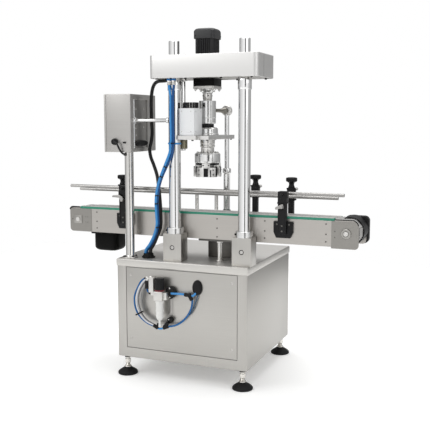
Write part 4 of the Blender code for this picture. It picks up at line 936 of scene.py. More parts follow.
def makeUnion():
    x, y = spindle["x"], spindle["y"]
    bottom, top = 1.0985, 1.1951
    profile = [(0.0116, bottom), (0.034, bottom), (0.034, bottom + 0.002), (0.0355, bottom + 0.003),
               (0.0355, bottom + 0.0215), (0.035, bottom + 0.0225), (0.035, bottom + 0.0238),
               (0.03625, bottom + 0.025), (0.03625, top), (0.021, top), (0.021, top - 0.002),
               (0.0116, top - 0.002), (0.0116, bottom)]
    setDown("unionSleeve", turnedForm(profile, (x, y, 0), sides=72, ease=0.0008), turnedAlloy, "carriage",
            ["rotary_union"])
    centre = Vector((x, y, guide["arm"]))
    post = Vector((guide["x"], guide["y"], guide["arm"]))
    toward = (post - centre).normalized()
    reach = (post - centre).length
    arm = turnedForm([(0, 0.033), (0.0125, 0.033), (0.0125, 0.041), (0.0082, 0.043), (0.0078, reach - 0.05),
                      (0.0085, reach - 0.04), (0.0115, reach - 0.026), (0.015, reach - 0.016),
                      (0.015, reach - 0.01), (0, reach - 0.01)], centre, toward, 40, 0.0006)
    setDown("unionArm", arm, darkSteel, "carriage", (), 30)
    disc = turnedForm([(0, 0), (0.015, 0), (0.0205, 0.0012), (0.0232, 0.0045), (0.024, 0.01),
                       (0.0232, 0.0155),
                       (0.0205, 0.0188), (0.015, 0.02), (0, 0.02)],
                      (guide["x"], guide["y"] + 0.01, guide["arm"]), toFront, 64, 0.0004)
    setDown("guideDisc", disc, castAlloy, "carriage", (), 50)
    setDown("guideBar", barForm((guide["x"], guide["y"], guide["low"]),
                                (guide["x"], guide["y"], guide["arm"] - 0.004), guide["radius"], sides=48,
                                ease=0.0012), chromeBar, "carriage")
    sleeve = turnedForm([(0.0106, 0.7195), (0.014, 0.7195), (0.014, 0.879), (0.0172, 0.8815), (0.0184, 0.885),
                         (0.0184, 0.897), (0.0172, 0.9015), (0.015, 0.903), (0.0106, 0.903)],
                        (guide["x"], guide["y"], 0), sides=56, ease=0.0006)
    setDown("rodSleeve", sleeve, turnedAlloy, "base", ["rod_sleeve"], 30)
    disc = turnedForm([(0.0106, 0.7075), (0.0225, 0.7075), (0.0225, 0.7095), (0.019, 0.7125), (0.016, 0.7195),
                       (0.0106, 0.7195)], (guide["x"], guide["y"], 0), sides=56, ease=0.0006)
    setDown("rodSleeveFoot", disc, mouldedBlack, "base")


chuck = {"radius": 0.055, "high": 0.9751, "low": 0.9317, "jaws": 3, "firstJaw": -75, "jawOuter": 0.0595,
         "jawInner": 0.04, "jawHalfAngle": 51, "jawLow": 0.8731}


def aroundSpindle(form, angle):
    x, y = spindle["x"], spindle["y"]
    return moved(form, Matrix.Translation((x, y, 0)) @ Matrix.Rotation(angle, 4, "Z"))


def makeChuck():
    x, y = spindle["x"], spindle["y"]
    shoulder = carriage["plateHigh"] - carriage["plateThick"] - 0.0003
    neck = [(0, 1.09), (0.0205, 1.09), (0.0205, shoulder), (0.0315, shoulder), (0.0315, 1.014),
            (0.0303, 1.012), (0.0303, 1.008), (0.0315, 1.006), (0.0315, 1.0005), (0.0285, 0.998),
            (0.0285, chuck["high"] + 0.0003), (0, chuck["high"] + 0.0003)]
    setDown("spindleNeck", turnedForm(neck, (x, y, 0), sides=64, ease=0.0007), brightSteel, "chuck",
            ["spindle"])
    lock = turnedForm([(0.0205, 1.083), (0.0262, 1.083), (0.0275, 1.0845, "flute"), (0.0275, 1.0965, "flute"),
                       (0.0262, 1.098), (0.0205, 1.098)], (x, y, 0), sides=96, ease=0.0004, flutes=(12, 0.07))
    setDown("spindleLockRing", lock, glossBlack, "chuck", (), 30)
    body = [(0, chuck["high"]), (0.05, chuck["high"]), (0.05, 0.9725), (0.053, 0.9715),
            (chuck["radius"], 0.9695),
            (chuck["radius"], chuck["low"] + 0.0015), (chuck["radius"] - 0.0015, chuck["low"]),
            (0, chuck["low"])]
    slots = []
    for number in range(chuck["jaws"]):
        angle = math.radians(chuck["firstJaw"] + 120 * number)
        slots.append(aroundSpindle(boxForm((0.01, 0.07), about(0, 0.0063), (0.92, chuck["low"] + 0.008), 0),
                                   angle))
    setDown("chuckBody", carved(turnedForm(body, (x, y, 0), sides=96, ease=0.0007), *slots), turnedAlloy,
            "chuck",
            ["chuck_body"])
    bolts = [socketScrew((u, v, chuck["high"] - 0.0002), toTop, 0.004, 0.0046)
             for u, v, _ in circleSpots(x, y, 0.043, -75, 8)]
    setDown("chuckBolts", joined(*bolts), screwSteel, "chuck")
    skirts = []
    for number in range(chuck["jaws"]):
        outline = arcPoints(0, 0, 0.05, 23, 97, 14) + arcPoints(0, 0, 0.038, 97, 23, 14)
        skirt = plateForm(outline, chuck["low"] - 0.008, chuck["low"] - 0.0003, ease=0.0006)
        skirts.append(aroundSpindle(skirt, math.radians(chuck["firstJaw"] + 120 * number)))
    setDown("chuckSkirt", joined(*skirts), softRubber, "chuck")
    for number in range(chuck["jaws"]):
        makeJaw(number + 1, math.radians(chuck["firstJaw"] + 120 * number))


def jawInsert(first, last, low, high):
    # a curved rubber strip let into the outside of a jaw
    outer, inner = chuck["jawOuter"] + 0.0005, chuck["jawOuter"] - 0.004
    return plateForm(arcPoints(0, 0, outer, first, last, 5) + arcPoints(0, 0, inner, last, first, 5), low,
                     high,
                     ease=0.0005)


def makeJaw(number, angle):
    half = chuck["jawHalfAngle"]
    outline = (arcPoints(0, 0, chuck["jawOuter"], -half, half, 24)
               + arcPoints(0, 0, chuck["jawInner"], half, -half, 24))
    top = chuck["low"] - 0.018
    segment = plateForm(outline, chuck["jawLow"], top, ease=0.001, steps=2)
    pocket = boxForm((chuck["jawOuter"] - 0.012, 0.08), about(0, 0.0096), (0.86, top - 0.003), 0)
    stem = boxForm((0.022, chuck["jawOuter"] - 0.004), about(0, 0.017), (top - 0.002, chuck["low"] - 0.0003),
                   0.0012)
    key = boxForm((0.02, 0.053), about(0, 0.006), (chuck["low"] - 0.003, chuck["low"] + 0.0077), 0.0005)
    body = joined(carved(segment, pocket), stem, key)
    setDown(f"jawBody_{number}", aroundSpindle(body, angle), milledAlloy, f"jaw_{number}", [f"jaw_{number}"])
    pad = joined(boxForm((chuck["jawOuter"] - 0.0118, chuck["jawOuter"] + 0.0002), about(0, 0.0092),
                         (chuck["jawLow"] + 0.0008, top - 0.0034), 0.0016),
                 jawInsert(half - 8.5, half - 0.8, chuck["jawLow"] + 0.002, top + 0.004),
                 jawInsert(0.8 - half, 8.5 - half, top - 0.022, top + 0.004),
                 jawInsert(17.5, 22.5, chuck["jawLow"] + 0.0008, top - 0.01),
                 plateForm(arcPoints(0, 0, chuck["jawInner"] - 0.0002, -half + 4, half - 4, 20)
                           + arcPoints(0, 0, chuck["jawInner"] - 0.0045, half - 4, -half + 4, 20),
                           chuck["jawLow"] + 0.001, top - 0.001, ease=0.0008))
    setDown(f"jawPad_{number}", aroundSpindle(pad, angle), softRubber, f"jaw_{number}")
    screws = []
    for side in (-1, 1):
        u, v, outward = circleSpots(0, 0, chuck["jawOuter"] - 0.0006, side * 31, 1)[0]
        screws += [socketScrew((u, v, z), outward, 0.0034, 0.0012)
                   for z in (chuck["jawLow"] + 0.011, top - 0.011)]
        screws.append(socketScrew((0.0552, side * 0.0115, chuck["low"] - 0.009), toRight, 0.003, 0.001))
    setDown(f"jawScrews_{number}", aroundSpindle(joined(*screws), angle), blackScrew, f"jaw_{number}")


# Painted shade: the bushes under the head get a dark olive tone that stands for the shade they sit in.
paintedShadeBush = turnedMetal("bush metal, painted shade", "aluminium", (0.22, 0.205, 0.145), 0.3)
darkSteel = turnedMetal("browned steel", "aluminium", (0.2, 0.19, 0.17), 0.28)
makePress()
makeCarriage()
makeUnion()
makeChuck()
print("carriage and chuck ready")


# conveyor
conveyor = {"left": -0.5905, "right": 0.729, "front": -0.205, "back": -0.045, "low": 0.613,
            "sheet": 0.003, "plateEdge": 0.7072, "stripTop": 0.7195, "frontRise": 0.0095,
            "stripLeft": -0.536, "stripRight": 0.631,
            "stripWidth": 0.022, "rollerZ": 0.668, "rollerRadius": 0.046, "driveX": -0.548, "idlerX": 0.6785,
            "chainWidth": 0.114, "slatThick": 0.005, "slats": 72, "endPlate": 0.1095, "endDrop": 0.006,
            "corner": 0.016, "rightCorner": 0.026, "leftSeam": -0.478, "hoodInner": 0.0552,
            "hoodOuter": 0.0584,
            "motorX": -0.4251}


def plateOutline(rise):
    # the front plate stands higher than the rear one
    low, drop = conveyor["low"], conveyor["low"] - conveyor["endDrop"]
    bedTop = conveyor["rollerZ"] + conveyor["rollerRadius"] + rise
    edge = conveyor["plateEdge"] + rise
    corner, rightCorner = conveyor["corner"], conveyor["rightCorner"]
    left, right = conveyor["left"], conveyor["right"]
    step = right - conveyor["endPlate"]
    outline = [(conveyor["stripLeft"] - 0.001, edge), (conveyor["stripLeft"] - 0.001, bedTop)]
    outline += arcPoints(left + corner, bedTop - corner, corner, 90, 180, 6)
    outline += arcPoints(left + corner, low + corner, corner, 180, 270, 6)
    outline += [(step, low), (step, drop)]
    outline += arcPoints(right - corner, drop + corner, corner, 270, 360, 6)
    outline += arcPoints(right - rightCorner, bedTop - rightCorner, rightCorner, 0, 90, 8)
    outline += [(conveyor["stripRight"] + 0.001, bedTop), (conveyor["stripRight"] + 0.001, edge)]
    return outline


def makeConveyorSides():
    front, back, sheet = conveyor["front"], conveyor["back"], conveyor["sheet"]
    z, low, rise, rightCorner = (conveyor[key] for key in ("rollerZ", "low", "frontRise", "rightCorner"))
    bedTop = z + conveyor["rollerRadius"] + rise
    setDown("conveyorSideFront", plateForm(plateOutline(rise), front, front + sheet, "XZ", 0.0007),
            conveyorSteel, "base",
            ["conveyor_plate_front"])
    left, right, corner = conveyor["left"], conveyor["right"], conveyor["corner"]
    leftEnd = ([(conveyor["leftSeam"], bedTop - 0.0068),
                (conveyor["leftSeam"], low)] + arcPoints(left + corner, low + corner, corner, 270, 180, 6)
               + arcPoints(left + corner, bedTop - corner, corner, 180, 125, 4) + [(-0.56, bedTop - 0.0068)])
    rightStep = right - conveyor["endPlate"]
    drop = low - conveyor["endDrop"]
    rightEnd = ([(rightStep, drop)] + arcPoints(right - corner, drop + corner, corner, 270, 360, 6)
                + arcPoints(right - rightCorner, bedTop - rightCorner, rightCorner, 0, 45, 5)
                + [(0.69, bedTop - 0.0068), (rightStep, bedTop - 0.0068)])
    # the end plates carry painted shade: they are darker than the side plate
    ends = joined(plateForm(leftEnd, front - 0.0012, front + 0.0002, "XZ", 0.0004),
                  plateForm(rightEnd, front - 0.0012, front + 0.0002, "XZ", 0.0004))
    setDown("conveyorEndPlates", ends, paintedShadeEndSteel, "base")
    turnX, turnZ = right - rightCorner, bedTop - rightCorner
    rightTrim = ([(0.633, bedTop + 0.0006)] + arcPoints(turnX, turnZ, rightCorner + 0.0006, 90, 8, 9)
                 + arcPoints(turnX, turnZ, rightCorner - 0.0034, 8, 90, 9) + [(0.633, bedTop - 0.0034)])
    leftTrim = ([(-0.537, bedTop + 0.0036)] + arcPoints(left + corner, bedTop - corner, corner + 0.0036, 90,
                                                        165, 7)
                + arcPoints(left + corner, bedTop - corner, corner - 0.003, 165, 90,
                            7) + [(-0.537, bedTop - 0.003)])
    lipTop = bedTop - rise
    lip = ([(-0.53, lipTop + 0.0036)] + arcPoints(left + corner, lipTop - corner, corner + 0.0036, 90, 150, 7)
           + arcPoints(left + corner, lipTop - corner, corner + 0.0006, 150, 90,
                       7) + [(-0.53, lipTop + 0.0006)])
    hood = (arcPoints(conveyor["idlerX"], z, conveyor["hoodOuter"], -78, 118, 30)
            + arcPoints(conveyor["idlerX"], z, conveyor["hoodInner"], 118, -78, 30))
    trims = [plateForm(outline, front - 0.0018, front + 0.0002, "XZ", 0.0004)
             for outline in (rightTrim, leftTrim)]
    trims += [plateForm(lip, front + 0.003, back - 0.003, "XZ", 0.0004),
              plateForm(hood, back - 0.085, back + 0.004, "XZ", 0.0008)]
    setDown("conveyorEndTrim", joined(*trims), mouldedBlack, "base")
    slot = joined(boxForm(about(conveyor["driveX"], 0.02), (front - 0.0038, front - 0.0008), about(z, 0.018),
                          0.0008),
                  ringForm((conveyor["idlerX"], front - 0.0008, z), toFront, 0.0108, 0.02, 0.0075, 56,
                           0.0016))
    setDown("conveyorBearings", slot, bearingSteel, "base")
    dots = [panScrew((x, front - 0.001, sz), toFront, 0.002, 0.0006)
            for x in (-0.5085, -0.4985) for sz in (z - 0.012, z + 0.012)]
    dots += [panScrew((-0.5775, front - 0.001, z), toFront, 0.0032, 0.0014)]
    dots += [panScrew((x, front, sz), toFront, 0.0034, 0.0016)
             for x in (-0.451, 0.342, 0.598) for sz in (low + 0.019, z - 0.006, bedTop - 0.02)]
    dots += [panScrew((0.131, front, sz), toFront, 0.0034, 0.0016)
             for sz in (low + 0.012, z - 0.006, bedTop - 0.022)]
    dots += [panScrew((0.634, front - 0.001, sz), toFront, 0.0028, 0.001) for sz in (z - 0.016, z + 0.008)]
    setDown("conveyorScrews", joined(*dots), dullScrew, "base")
    rear = joined(plateForm(plateOutline(0), back - sheet, back, "XZ", 0.0007),
                  boxForm((-0.06, guide["x"] + 0.03), (back - 0.0015, guide["y"] + 0.024),
                          (conveyor["plateEdge"] - 0.003, conveyor["plateEdge"]), 0.0008))
    posts = [turnedForm([(0, 0.706), (0.011, 0.706), (0.011, 0.711), (0.008, 0.712), (0.008, 0.8005),
                         (0, 0.8005)],
                        (x, guide["y"] - 0.008, 0), sides=40) for x in (-0.038, 0.056)]
    setDown("conveyorSideRear", rear, conveyorSteel, "base", ["conveyor_plate_rear"])
    setDown("railPosts", joined(*posts), brightSteel, "base")
    bolts = [hexNut((x, back, sz), toRear, 0.0055, 0.0035)
             for x in (-0.3, -0.1, 0.18, 0.33, 0.55) for sz in (low + 0.019, bedTop - rise - 0.02)]
    setDown("conveyorRearNuts", joined(*bolts), screwSteel, "base")


def makeChainGuide():
    bedTop = conveyor["rollerZ"] + conveyor["rollerRadius"]
    inner = (conveyor["front"] + conveyor["sheet"] + 0.0003, conveyor["back"] - conveyor["sheet"] - 0.0003)
    bed = boxForm((-0.498, 0.6285), inner, (bedTop - 0.0105, bedTop - 0.0002), 0.0005)
    setDown("chainBed", bed, slatPlastic, "base", ["chain_guide"])
    strips, covers = [], []
    for edge, inward, rise in ((conveyor["front"], 1, conveyor["frontRise"]), (conveyor["back"], -1, 0)):
        low, top = conveyor["plateEdge"] + rise, conveyor["stripTop"] + rise
        y = tuple(sorted((edge, edge + inward * conveyor["stripWidth"])))
        strips.append(boxForm((conveyor["stripLeft"], conveyor["stripRight"]), y, (low + 0.0003, top - 0.002),
                              0.0009))
        y = tuple(sorted((edge + inward * 0.0016, edge + inward * (conveyor["stripWidth"] + 0.0012))))
        covers.append(boxForm((conveyor["stripLeft"] + 0.004, conveyor["stripRight"] - 0.004), y,
                              (top - 0.0022, top), 0.0006))
    setDown("chainStrips", joined(*strips), tealPlastic, "base")
    setDown("stripCaps", joined(*covers), paleSlat, "base")


def makeChain():
    # flat-top slats laid along the loop round both rollers, each with its hinge knuckle
    z, radius = conveyor["rollerZ"], conveyor["rollerRadius"] + 0.0003
    span = conveyor["idlerX"] - conveyor["driveX"]
    middle = radius + conveyor["slatThick"] / 2
    loop = 2 * span + fullTurn * middle
    pitch = loop / conveyor["slats"]
    chainY = (conveyor["front"] + conveyor["back"]) / 2
    half = conveyor["chainWidth"] / 2
    forms = []
    for index in range(conveyor["slats"]):
        forms.append(moved(slatForm(pitch, half), slatPlace(index * pitch, span, middle, z, chainY)))
    setDown("slatChainFine", joined(*forms), slatPlastic, "base", ["slat_chain"])


def slatForm(pitch, half):
    thick = conveyor["slatThick"] / 2
    top = boxForm(about(0, pitch / 2 - 0.0006), about(0, half), about(0, thick), 0.0009, 1)
    knuckles = [barForm((pitch / 2, y - 0.0095, -thick - 0.0008), (pitch / 2, y + 0.0095, -thick - 0.0008),
                        0.003,
                        sides=8, ease=0) for y in (-0.042, -0.014, 0.014, 0.042)]
    return joined(top, *knuckles)


def slatPlace(along, span, middle, z, chainY):
    around = math.pi * middle
    if along < span:
        place, angle = (conveyor["driveX"] + along, z + middle), 0
    elif along < span + around:
        angle = -(along - span) / middle
        place = (conveyor["idlerX"] - middle * math.sin(angle), z + middle * math.cos(angle))
    elif along < 2 * span + around:
        place, angle = (conveyor["idlerX"] - (along - span - around), z - middle), math.pi
    else:
        angle = -math.pi - (along - 2 * span - around) / middle
        place = (conveyor["driveX"] - middle * math.sin(angle), z + middle * math.cos(angle))
    return Matrix.Translation((place[0], chainY, place[1])) @ Matrix.Rotation(-angle, 4, "Y")


def makeRollers():
    front, back = conveyor["front"] - 0.011, conveyor["back"] + 0.014
    half = conveyor["chainWidth"] / 2
    chainY = (conveyor["front"] + conveyor["back"]) / 2
    for body, x in (("drive_roller", conveyor["driveX"]), ("idler_roller", conveyor["idlerX"])):
        z = conveyor["rollerZ"]
        axle = turnedForm([(0, 0), (0.004, 0), (0.004, 0.003), (0.01, 0.003), (0.01, back - front),
                           (0, back - front)],
                          (x, front, z), toRear, 40, 0.0008)
        setDown(f"{body}Axle", axle, brightSteel, body)
        teeth = turnedForm([(0, -half), (0.044, -half), (0.0457, -half + 0.002, "flute"),
                            (0.0457, half - 0.002, "flute"), (0.044, half), (0, half)],
                           (x, chainY, z), toRear, 96, 0.0006, flutes=(12, 0.06))
        setDown(f"{body}Drum", teeth, slatPlastic, body, [body], 30)


def makeConveyorMotor():
    x, chainY = conveyor["motorX"], (conveyor["front"] + conveyor["back"]) / 2
    low = conveyor["low"] - 0.0003
    wide, deep = (x - 0.066, x + 0.056), about(chainY, 0.052)
    body = plateForm(roundedOutline(wide, deep, 0.027, 10), 0.5405, low - 0.006, ease=0.0016, steps=2)
    crown = bmesh.new()
    rings = []
    for z, inset in ((0.542, 0.0002), (0.537, 0.001), (0.531, 0.004), (0.5268, 0.0085), (0.5245, 0.014),
                     (0.524, 0.019)):
        outline = roundedOutline((wide[0] + inset, wide[1] - inset), (deep[0] + inset, deep[1] - inset),
                                 0.026, 10)
        rings.append([crown.verts.new((u, v, z)) for u, v in outline])
    seat = boxForm((x - 0.06, x + 0.06), (conveyor["front"] + 0.006, conveyor["back"] + 0.03),
                   (low - 0.008, low), 0.001)
    drive = boxForm((conveyor["left"] + 0.006, -0.462), (conveyor["back"] + 0.0003, conveyor["back"] + 0.032),
                    (low - 0.006, 0.702), 0.006, 4)
    setDown("conveyorMotor", joined(body, skinned(crown, rings), seat, drive), deepBlack, "base",
            ["conveyor_gearmotor"], 32)
    screws = [panScrew((sx, conveyor["back"] + 0.032, sz), toRear, 0.0034, 0.0016)
              for sx in (conveyor["left"] + 0.02, -0.476) for sz in (low + 0.01, 0.688)]
    screws += [panScrew((x + side * 0.038, chainY + end * 0.038, 0.5262), toFloor, 0.003, 0.0014)
               for side in (-1, 1) for end in (-1, 1)]
    setDown("conveyorMotorScrews", joined(*screws), screwSteel, "base")


def makeEndGuard():
    x, z, back = conveyor["idlerX"], conveyor["rollerZ"], conveyor["back"]
    outline = roundedOutline((x - 0.04, x + 0.06), (z - 0.059, z + 0.054), 0.02, 8)
    setDown("endGuardShell", plateForm(outline, back + 0.0003, back + 0.03, "XZ", 0.004, 4),
            mouldedBlack, "base", ["end_guard"])
    screws = [panScrew((x + dx, back + 0.03, z + dz), toRear, 0.0034, 0.0016)
              for dx in (-0.028, 0.048) for dz in (-0.045, 0.04)]
    setDown("endGuardScrews", joined(*screws), screwSteel, "base")


def makeStand():
    top, low = conveyor["low"] - 0.0003, deck["top"] + 0.0003
    back = conveyor["back"]
    form = joined(boxForm((0.046, 0.216), (conveyor["front"], back + 0.004), (top - 0.008, top), 0.001),
                  boxForm((0.053, 0.202), (-0.115, back + 0.002), (low, top - 0.004), 0.0018))
    # the stand block carries painted shade
    setDown("conveyorStandBlock", form, paintedShadeStandSteel, "base", ["conveyor_stand"])
    leg = turnedForm([(0, low), (0.015, low), (0.015, low + 0.006), (0.01, low + 0.007), (0.01, top - 0.014),
                      (0.0145, top - 0.013, "hex"), (0.0145, top - 0.008, "hex"), (0, top - 0.008)],
                     (0.1376, -0.19, 0), sides=48, ease=0.0006)
    setDown("conveyorStandLeg", leg, brightSteel, "base")


conveyorSteel = brushedMetal("conveyor steel", "brushed_steel", (0.45, 0.43, 0.405), 0.34, (4, 4, 380))
bearingSteel = turnedMetal("bearing steel", "chrome", (0.36, 0.35, 0.33), 0.3, 300)
# Painted shade: a darker copy of the conveyor steel for the plate ends, which fall into shade.
paintedShadeEndSteel = brushedMetal("end plate steel, painted shade", "brushed_steel", (0.29, 0.28, 0.262), 0.36, (4, 4, 380))
# Painted shade: the stand block under the conveyor is steel painted nearly black for the shade it stands in.
paintedShadeStandSteel = brushedMetal("stand steel, painted shade", "brushed_steel", (0.12, 0.115, 0.108), 0.4, (4, 4, 380))
makeConveyorSides()
makeChainGuide()
makeChain()
makeRollers()
makeConveyorMotor()
makeEndGuard()
makeStand()
print("conveyor ready")


# guide rails, brackets, levers and knobs
rails = {"radius": 0.007, "stem": 0.005,
         "front": {"y": -0.1725, "z": 0.8165, "left": -0.6044, "right": 0.6623},
         "rear": {"y": -0.0825, "z": 0.7945, "left": -0.611, "right": 0.6184},
         "frontBrackets": {"left": -0.3029, "right": 0.4228},
         "rearBrackets": {"left": -0.4135, "mid": 0.2416, "right": 0.4033},
         "drops": {"left": 0.0105, "mid": -0.007, "right": 0},
         "wings": {"left": [(-0.047, 0.0115), (-0.0465, 0.017), (-0.042, 0.0195), (-0.012, 0.0235),
                            (0.004, 0.015),
                            (0.009, 0.004), (0.006, -0.006), (-0.006, -0.004), (-0.014, 0.01)],
                   "right": [(-0.0265, -0.006), (-0.024, -0.011), (-0.019, -0.011), (0.001, -0.004),
                             (0.008, 0.006), (0.0085, 0.011), (0.004, 0.012), (-0.012, 0.005),
                             (-0.0235, -0.001)]}}


def makeRail(side, brackets, stemEnd):
    rail = rails[side]
    away = -1 if stemEnd < rail["y"] else 1
    length = rail["right"] - rail["left"]
    bar = turnedForm([(0, 0), (rails["radius"], 0), (rails["radius"], length), (0, length)],
                     (rail["left"], rail["y"], rail["z"]), toRight, 40, 0.0016)
    stems = [barForm((x, rail["y"], rail["z"]), (x, stemEnd, rail["z"]), rails["stem"], sides=28)
             for x in brackets.values()]
    hubs = [turnedForm([(0, 0.0045), (0.0078, 0.005), (0.0078, 0.0078), (0, 0.008)],
                       (x, rail["y"], rail["z"]), (0, away, 0), 28)
            for x in brackets.values()]
    setDown(f"guideRail_{side}", joined(bar, *stems, *hubs), railSteel, f"rail_{side}",
            [f"guide_rail_{side}"])
    caps = [barForm((x, stemEnd - away * 0.006, rail["z"]), (x, stemEnd + away * 0.0006, rail["z"]),
                    rails["stem"] + 0.0001,
                    sides=28) for x in brackets.values()]
    setDown(f"railStemCaps_{side}", joined(*caps), glossBlack, f"rail_{side}")


def makeFrontBracket(side, x):
    front = conveyor["front"] - 0.0003
    z = rails["front"]["z"]
    foot = [(x - 0.041, 0.706), (x - 0.041, 0.662), (x - 0.03, 0.638), (x + 0.03, 0.638),
            (x + 0.041, 0.662), (x + 0.041, 0.706)]
    headLow = 0.7814
    bore = barForm((x, -0.3, z), (x, -0.15, z), rails["stem"] + 0.0006, sides=32, ease=0)
    post = joined(plateForm(foot, front - 0.01, front, "XZ", 0.0022, 2),
                  boxForm(about(x, 0.0165), (-0.232, front - 0.002), (0.655, headLow + 0.002), 0.002),
                  boxForm((x - 0.0175, x - 0.0125), (-0.2332, -0.23), (0.665, headLow), 0.0006, 1),
                  boxForm((x + 0.0125, x + 0.0175), (-0.2332, -0.23), (0.665, headLow), 0.0006, 1),
                  carved(boxForm(about(x, 0.0185), (-0.234, -0.199), (headLow, 0.829), 0.0022), bore),
                  boxForm(about(x, 0.02), (-0.235, -0.1985), (headLow - 0.002, headLow + 0.0045), 0.0012))
    setDown(f"frontBracket_{side}", post, mouldedBlack, "base", [f"rail_bracket_front_{side}"])
    ring = ringForm((x, -0.234, z), toFront, rails["stem"] + 0.0006, 0.0092, 0.0016, 36, 0.0005)
    setDown(f"frontBracketCollar_{side}", ring, glossBlack, "base")
    screws = [socketScrew((x + dx, front - 0.01, 0.694), toFront, 0.0036, 0.0016)
              for dx in (-0.0255, 0.0255)]
    screws += [socketScrew((x, -0.232, sz), toFront, 0.0036, 0.0018) for sz in (0.668, 0.69)]
    setDown(f"frontBracketScrews_{side}", joined(*screws), dullScrew, "base")
    leverY, leverZ = -0.2323, headLow - 0.014
    hub = turnedForm([(0, 0), (0.0085, 0), (0.0085, 0.0035), (0.007, 0.0045), (0.0075, 0.011), (0.006, 0.014),
                      (0, 0.0145)], (x, leverY, leverZ), toFront, 36, 0.0005)
    wing = [(x + dx, leverZ + dz) for dx, dz in rails["wings"][side]]
    lever = joined(hub, plateForm(wing, leverY - 0.012, leverY - 0.0055, "XZ", 0.002, 2))
    setDown(f"wingLever_{side}", lever, railSteel, f"wing_lever_{side}", [f"wing_lever_{side}"], 45)


def makeRearBracket(side, x):
    near = conveyor["back"] + 0.0003
    z = rails["rear"]["z"]
    middle = near + 0.014
    drop = rails["drops"][side]
    headLow, headHigh = 0.775 - drop, 0.827 - drop
    bore = barForm((x, -0.1, z), (x, 0.05, z), rails["stem"] + 0.0006, sides=32, ease=0)
    post = joined(boxForm(about(x, 0.011), (near, near + 0.026), (0.65, headLow + 0.002), 0.0015),
                  boxForm(about(x, 0.028), (near, near + 0.008), (0.64, 0.69), 0.002),
                  carved(boxForm(about(x, 0.017), (near, near + 0.028), (headLow, headHigh), 0.0022), bore),
                  boxForm(about(x, 0.0185), (near - 0.0005, near + 0.0292),
                          (headLow - 0.0015, headLow + 0.005), 0.0012),
                  boxForm(about(x, 0.0185), (near - 0.0005, near + 0.0292),
                          (headHigh - 0.006, headHigh + 0.0002),
                          0.0012),
                  barForm((x, middle, headHigh - 0.002), (x, middle, headHigh + 0.0385), 0.006, sides=32))
    setDown(f"rearBracket_{side}", post, mouldedBlack, "base", [f"rail_bracket_rear_{side}"])
    low = headHigh + 0.0003
    knob = turnedForm([(0.0063, 0), (0.014, 0), (0.014, 0.0045), (0.0122, 0.0075), (0.0108, 0.0145),
                       (0.0118, 0.021), (0.016, 0.0245), (0.0218, 0.0268, "flute"), (0.024, 0.0298, "flute"),
                       (0.024, 0.0402, "flute"), (0.0222, 0.0434, "flute"), (0.015, 0.0445), (0.006, 0.0447),
                       (0, 0.0442)], (x, middle, low), sides=96, ease=0.0006, flutes=(10, 0.09))
    setDown(f"railKnob_{side}", knob, mouldedBlack, f"rail_knob_{side}", [f"rail_knob_{side}"], 50)
    screws = [panScrew((x + dx, near + 0.008, sz), toRear, 0.0034, 0.0018)
              for dx in (-0.02, 0.02) for sz in (0.65, 0.68)]
    nuts = turnedForm([(0, 0), (0.0052, 0), (0.0062, 0.0015), (0.0062, 0.0075), (0.0045, 0.0095),
                       (0, 0.0098)],
                      (x + 0.0185, middle, headHigh - 0.004), toRight, 28, 0.0004)
    setDown(f"rearBracketScrews_{side}", joined(*screws, nuts), screwSteel, "base")


railSteel = brushedMetal("rail tube", "chrome", (0.36, 0.353, 0.342), 0.3, (2, 260, 260), 0.06, 0.02)
makeRail("front", rails["frontBrackets"], -0.252)
makeRail("rear", rails["rearBrackets"], 0.002)
for side, x in rails["frontBrackets"].items():
    makeFrontBracket(side, x)
for side, x in rails["rearBrackets"].items():
    makeRearBracket(side, x)
print("rails ready")


# control box on its pole
control = {"left": -0.3612, "right": -0.233, "front": -0.28, "back": -0.044, "doorBack": -0.058,
           "low": 0.9775, "high": 1.2235,
           "door": 0.009, "poleX": -0.257, "poleY": -0.253, "poleRadius": 0.019,
           "braceZ": 1.1125, "braceRadius": 0.008, "buttonZ": 0.06}


def makePole():
    low, high = deck["top"] + 0.0003, control["low"] - 0.0003
    x, y = control["poleX"], control["poleY"]
    pole = [(0, low), (0.034, low), (0.034, low + 0.005), (0.0215, low + 0.0062), (0.0205, low + 0.0095),
            (control["poleRadius"], low + 0.0105), (control["poleRadius"], high), (0, high)]
    setDown("poleBar", turnedForm(pole, (x, y, 0), sides=64, ease=0.0007), poleSteel, "base", ["box_pole"])
    screws = [socketScrew((u, v, low + 0.005), toTop, 0.0042, 0.004)
              for u, v, _ in circleSpots(x, y, 0.0275, -40, 4)]
    setDown("poleScrews", joined(*screws), blackScrew, "base")


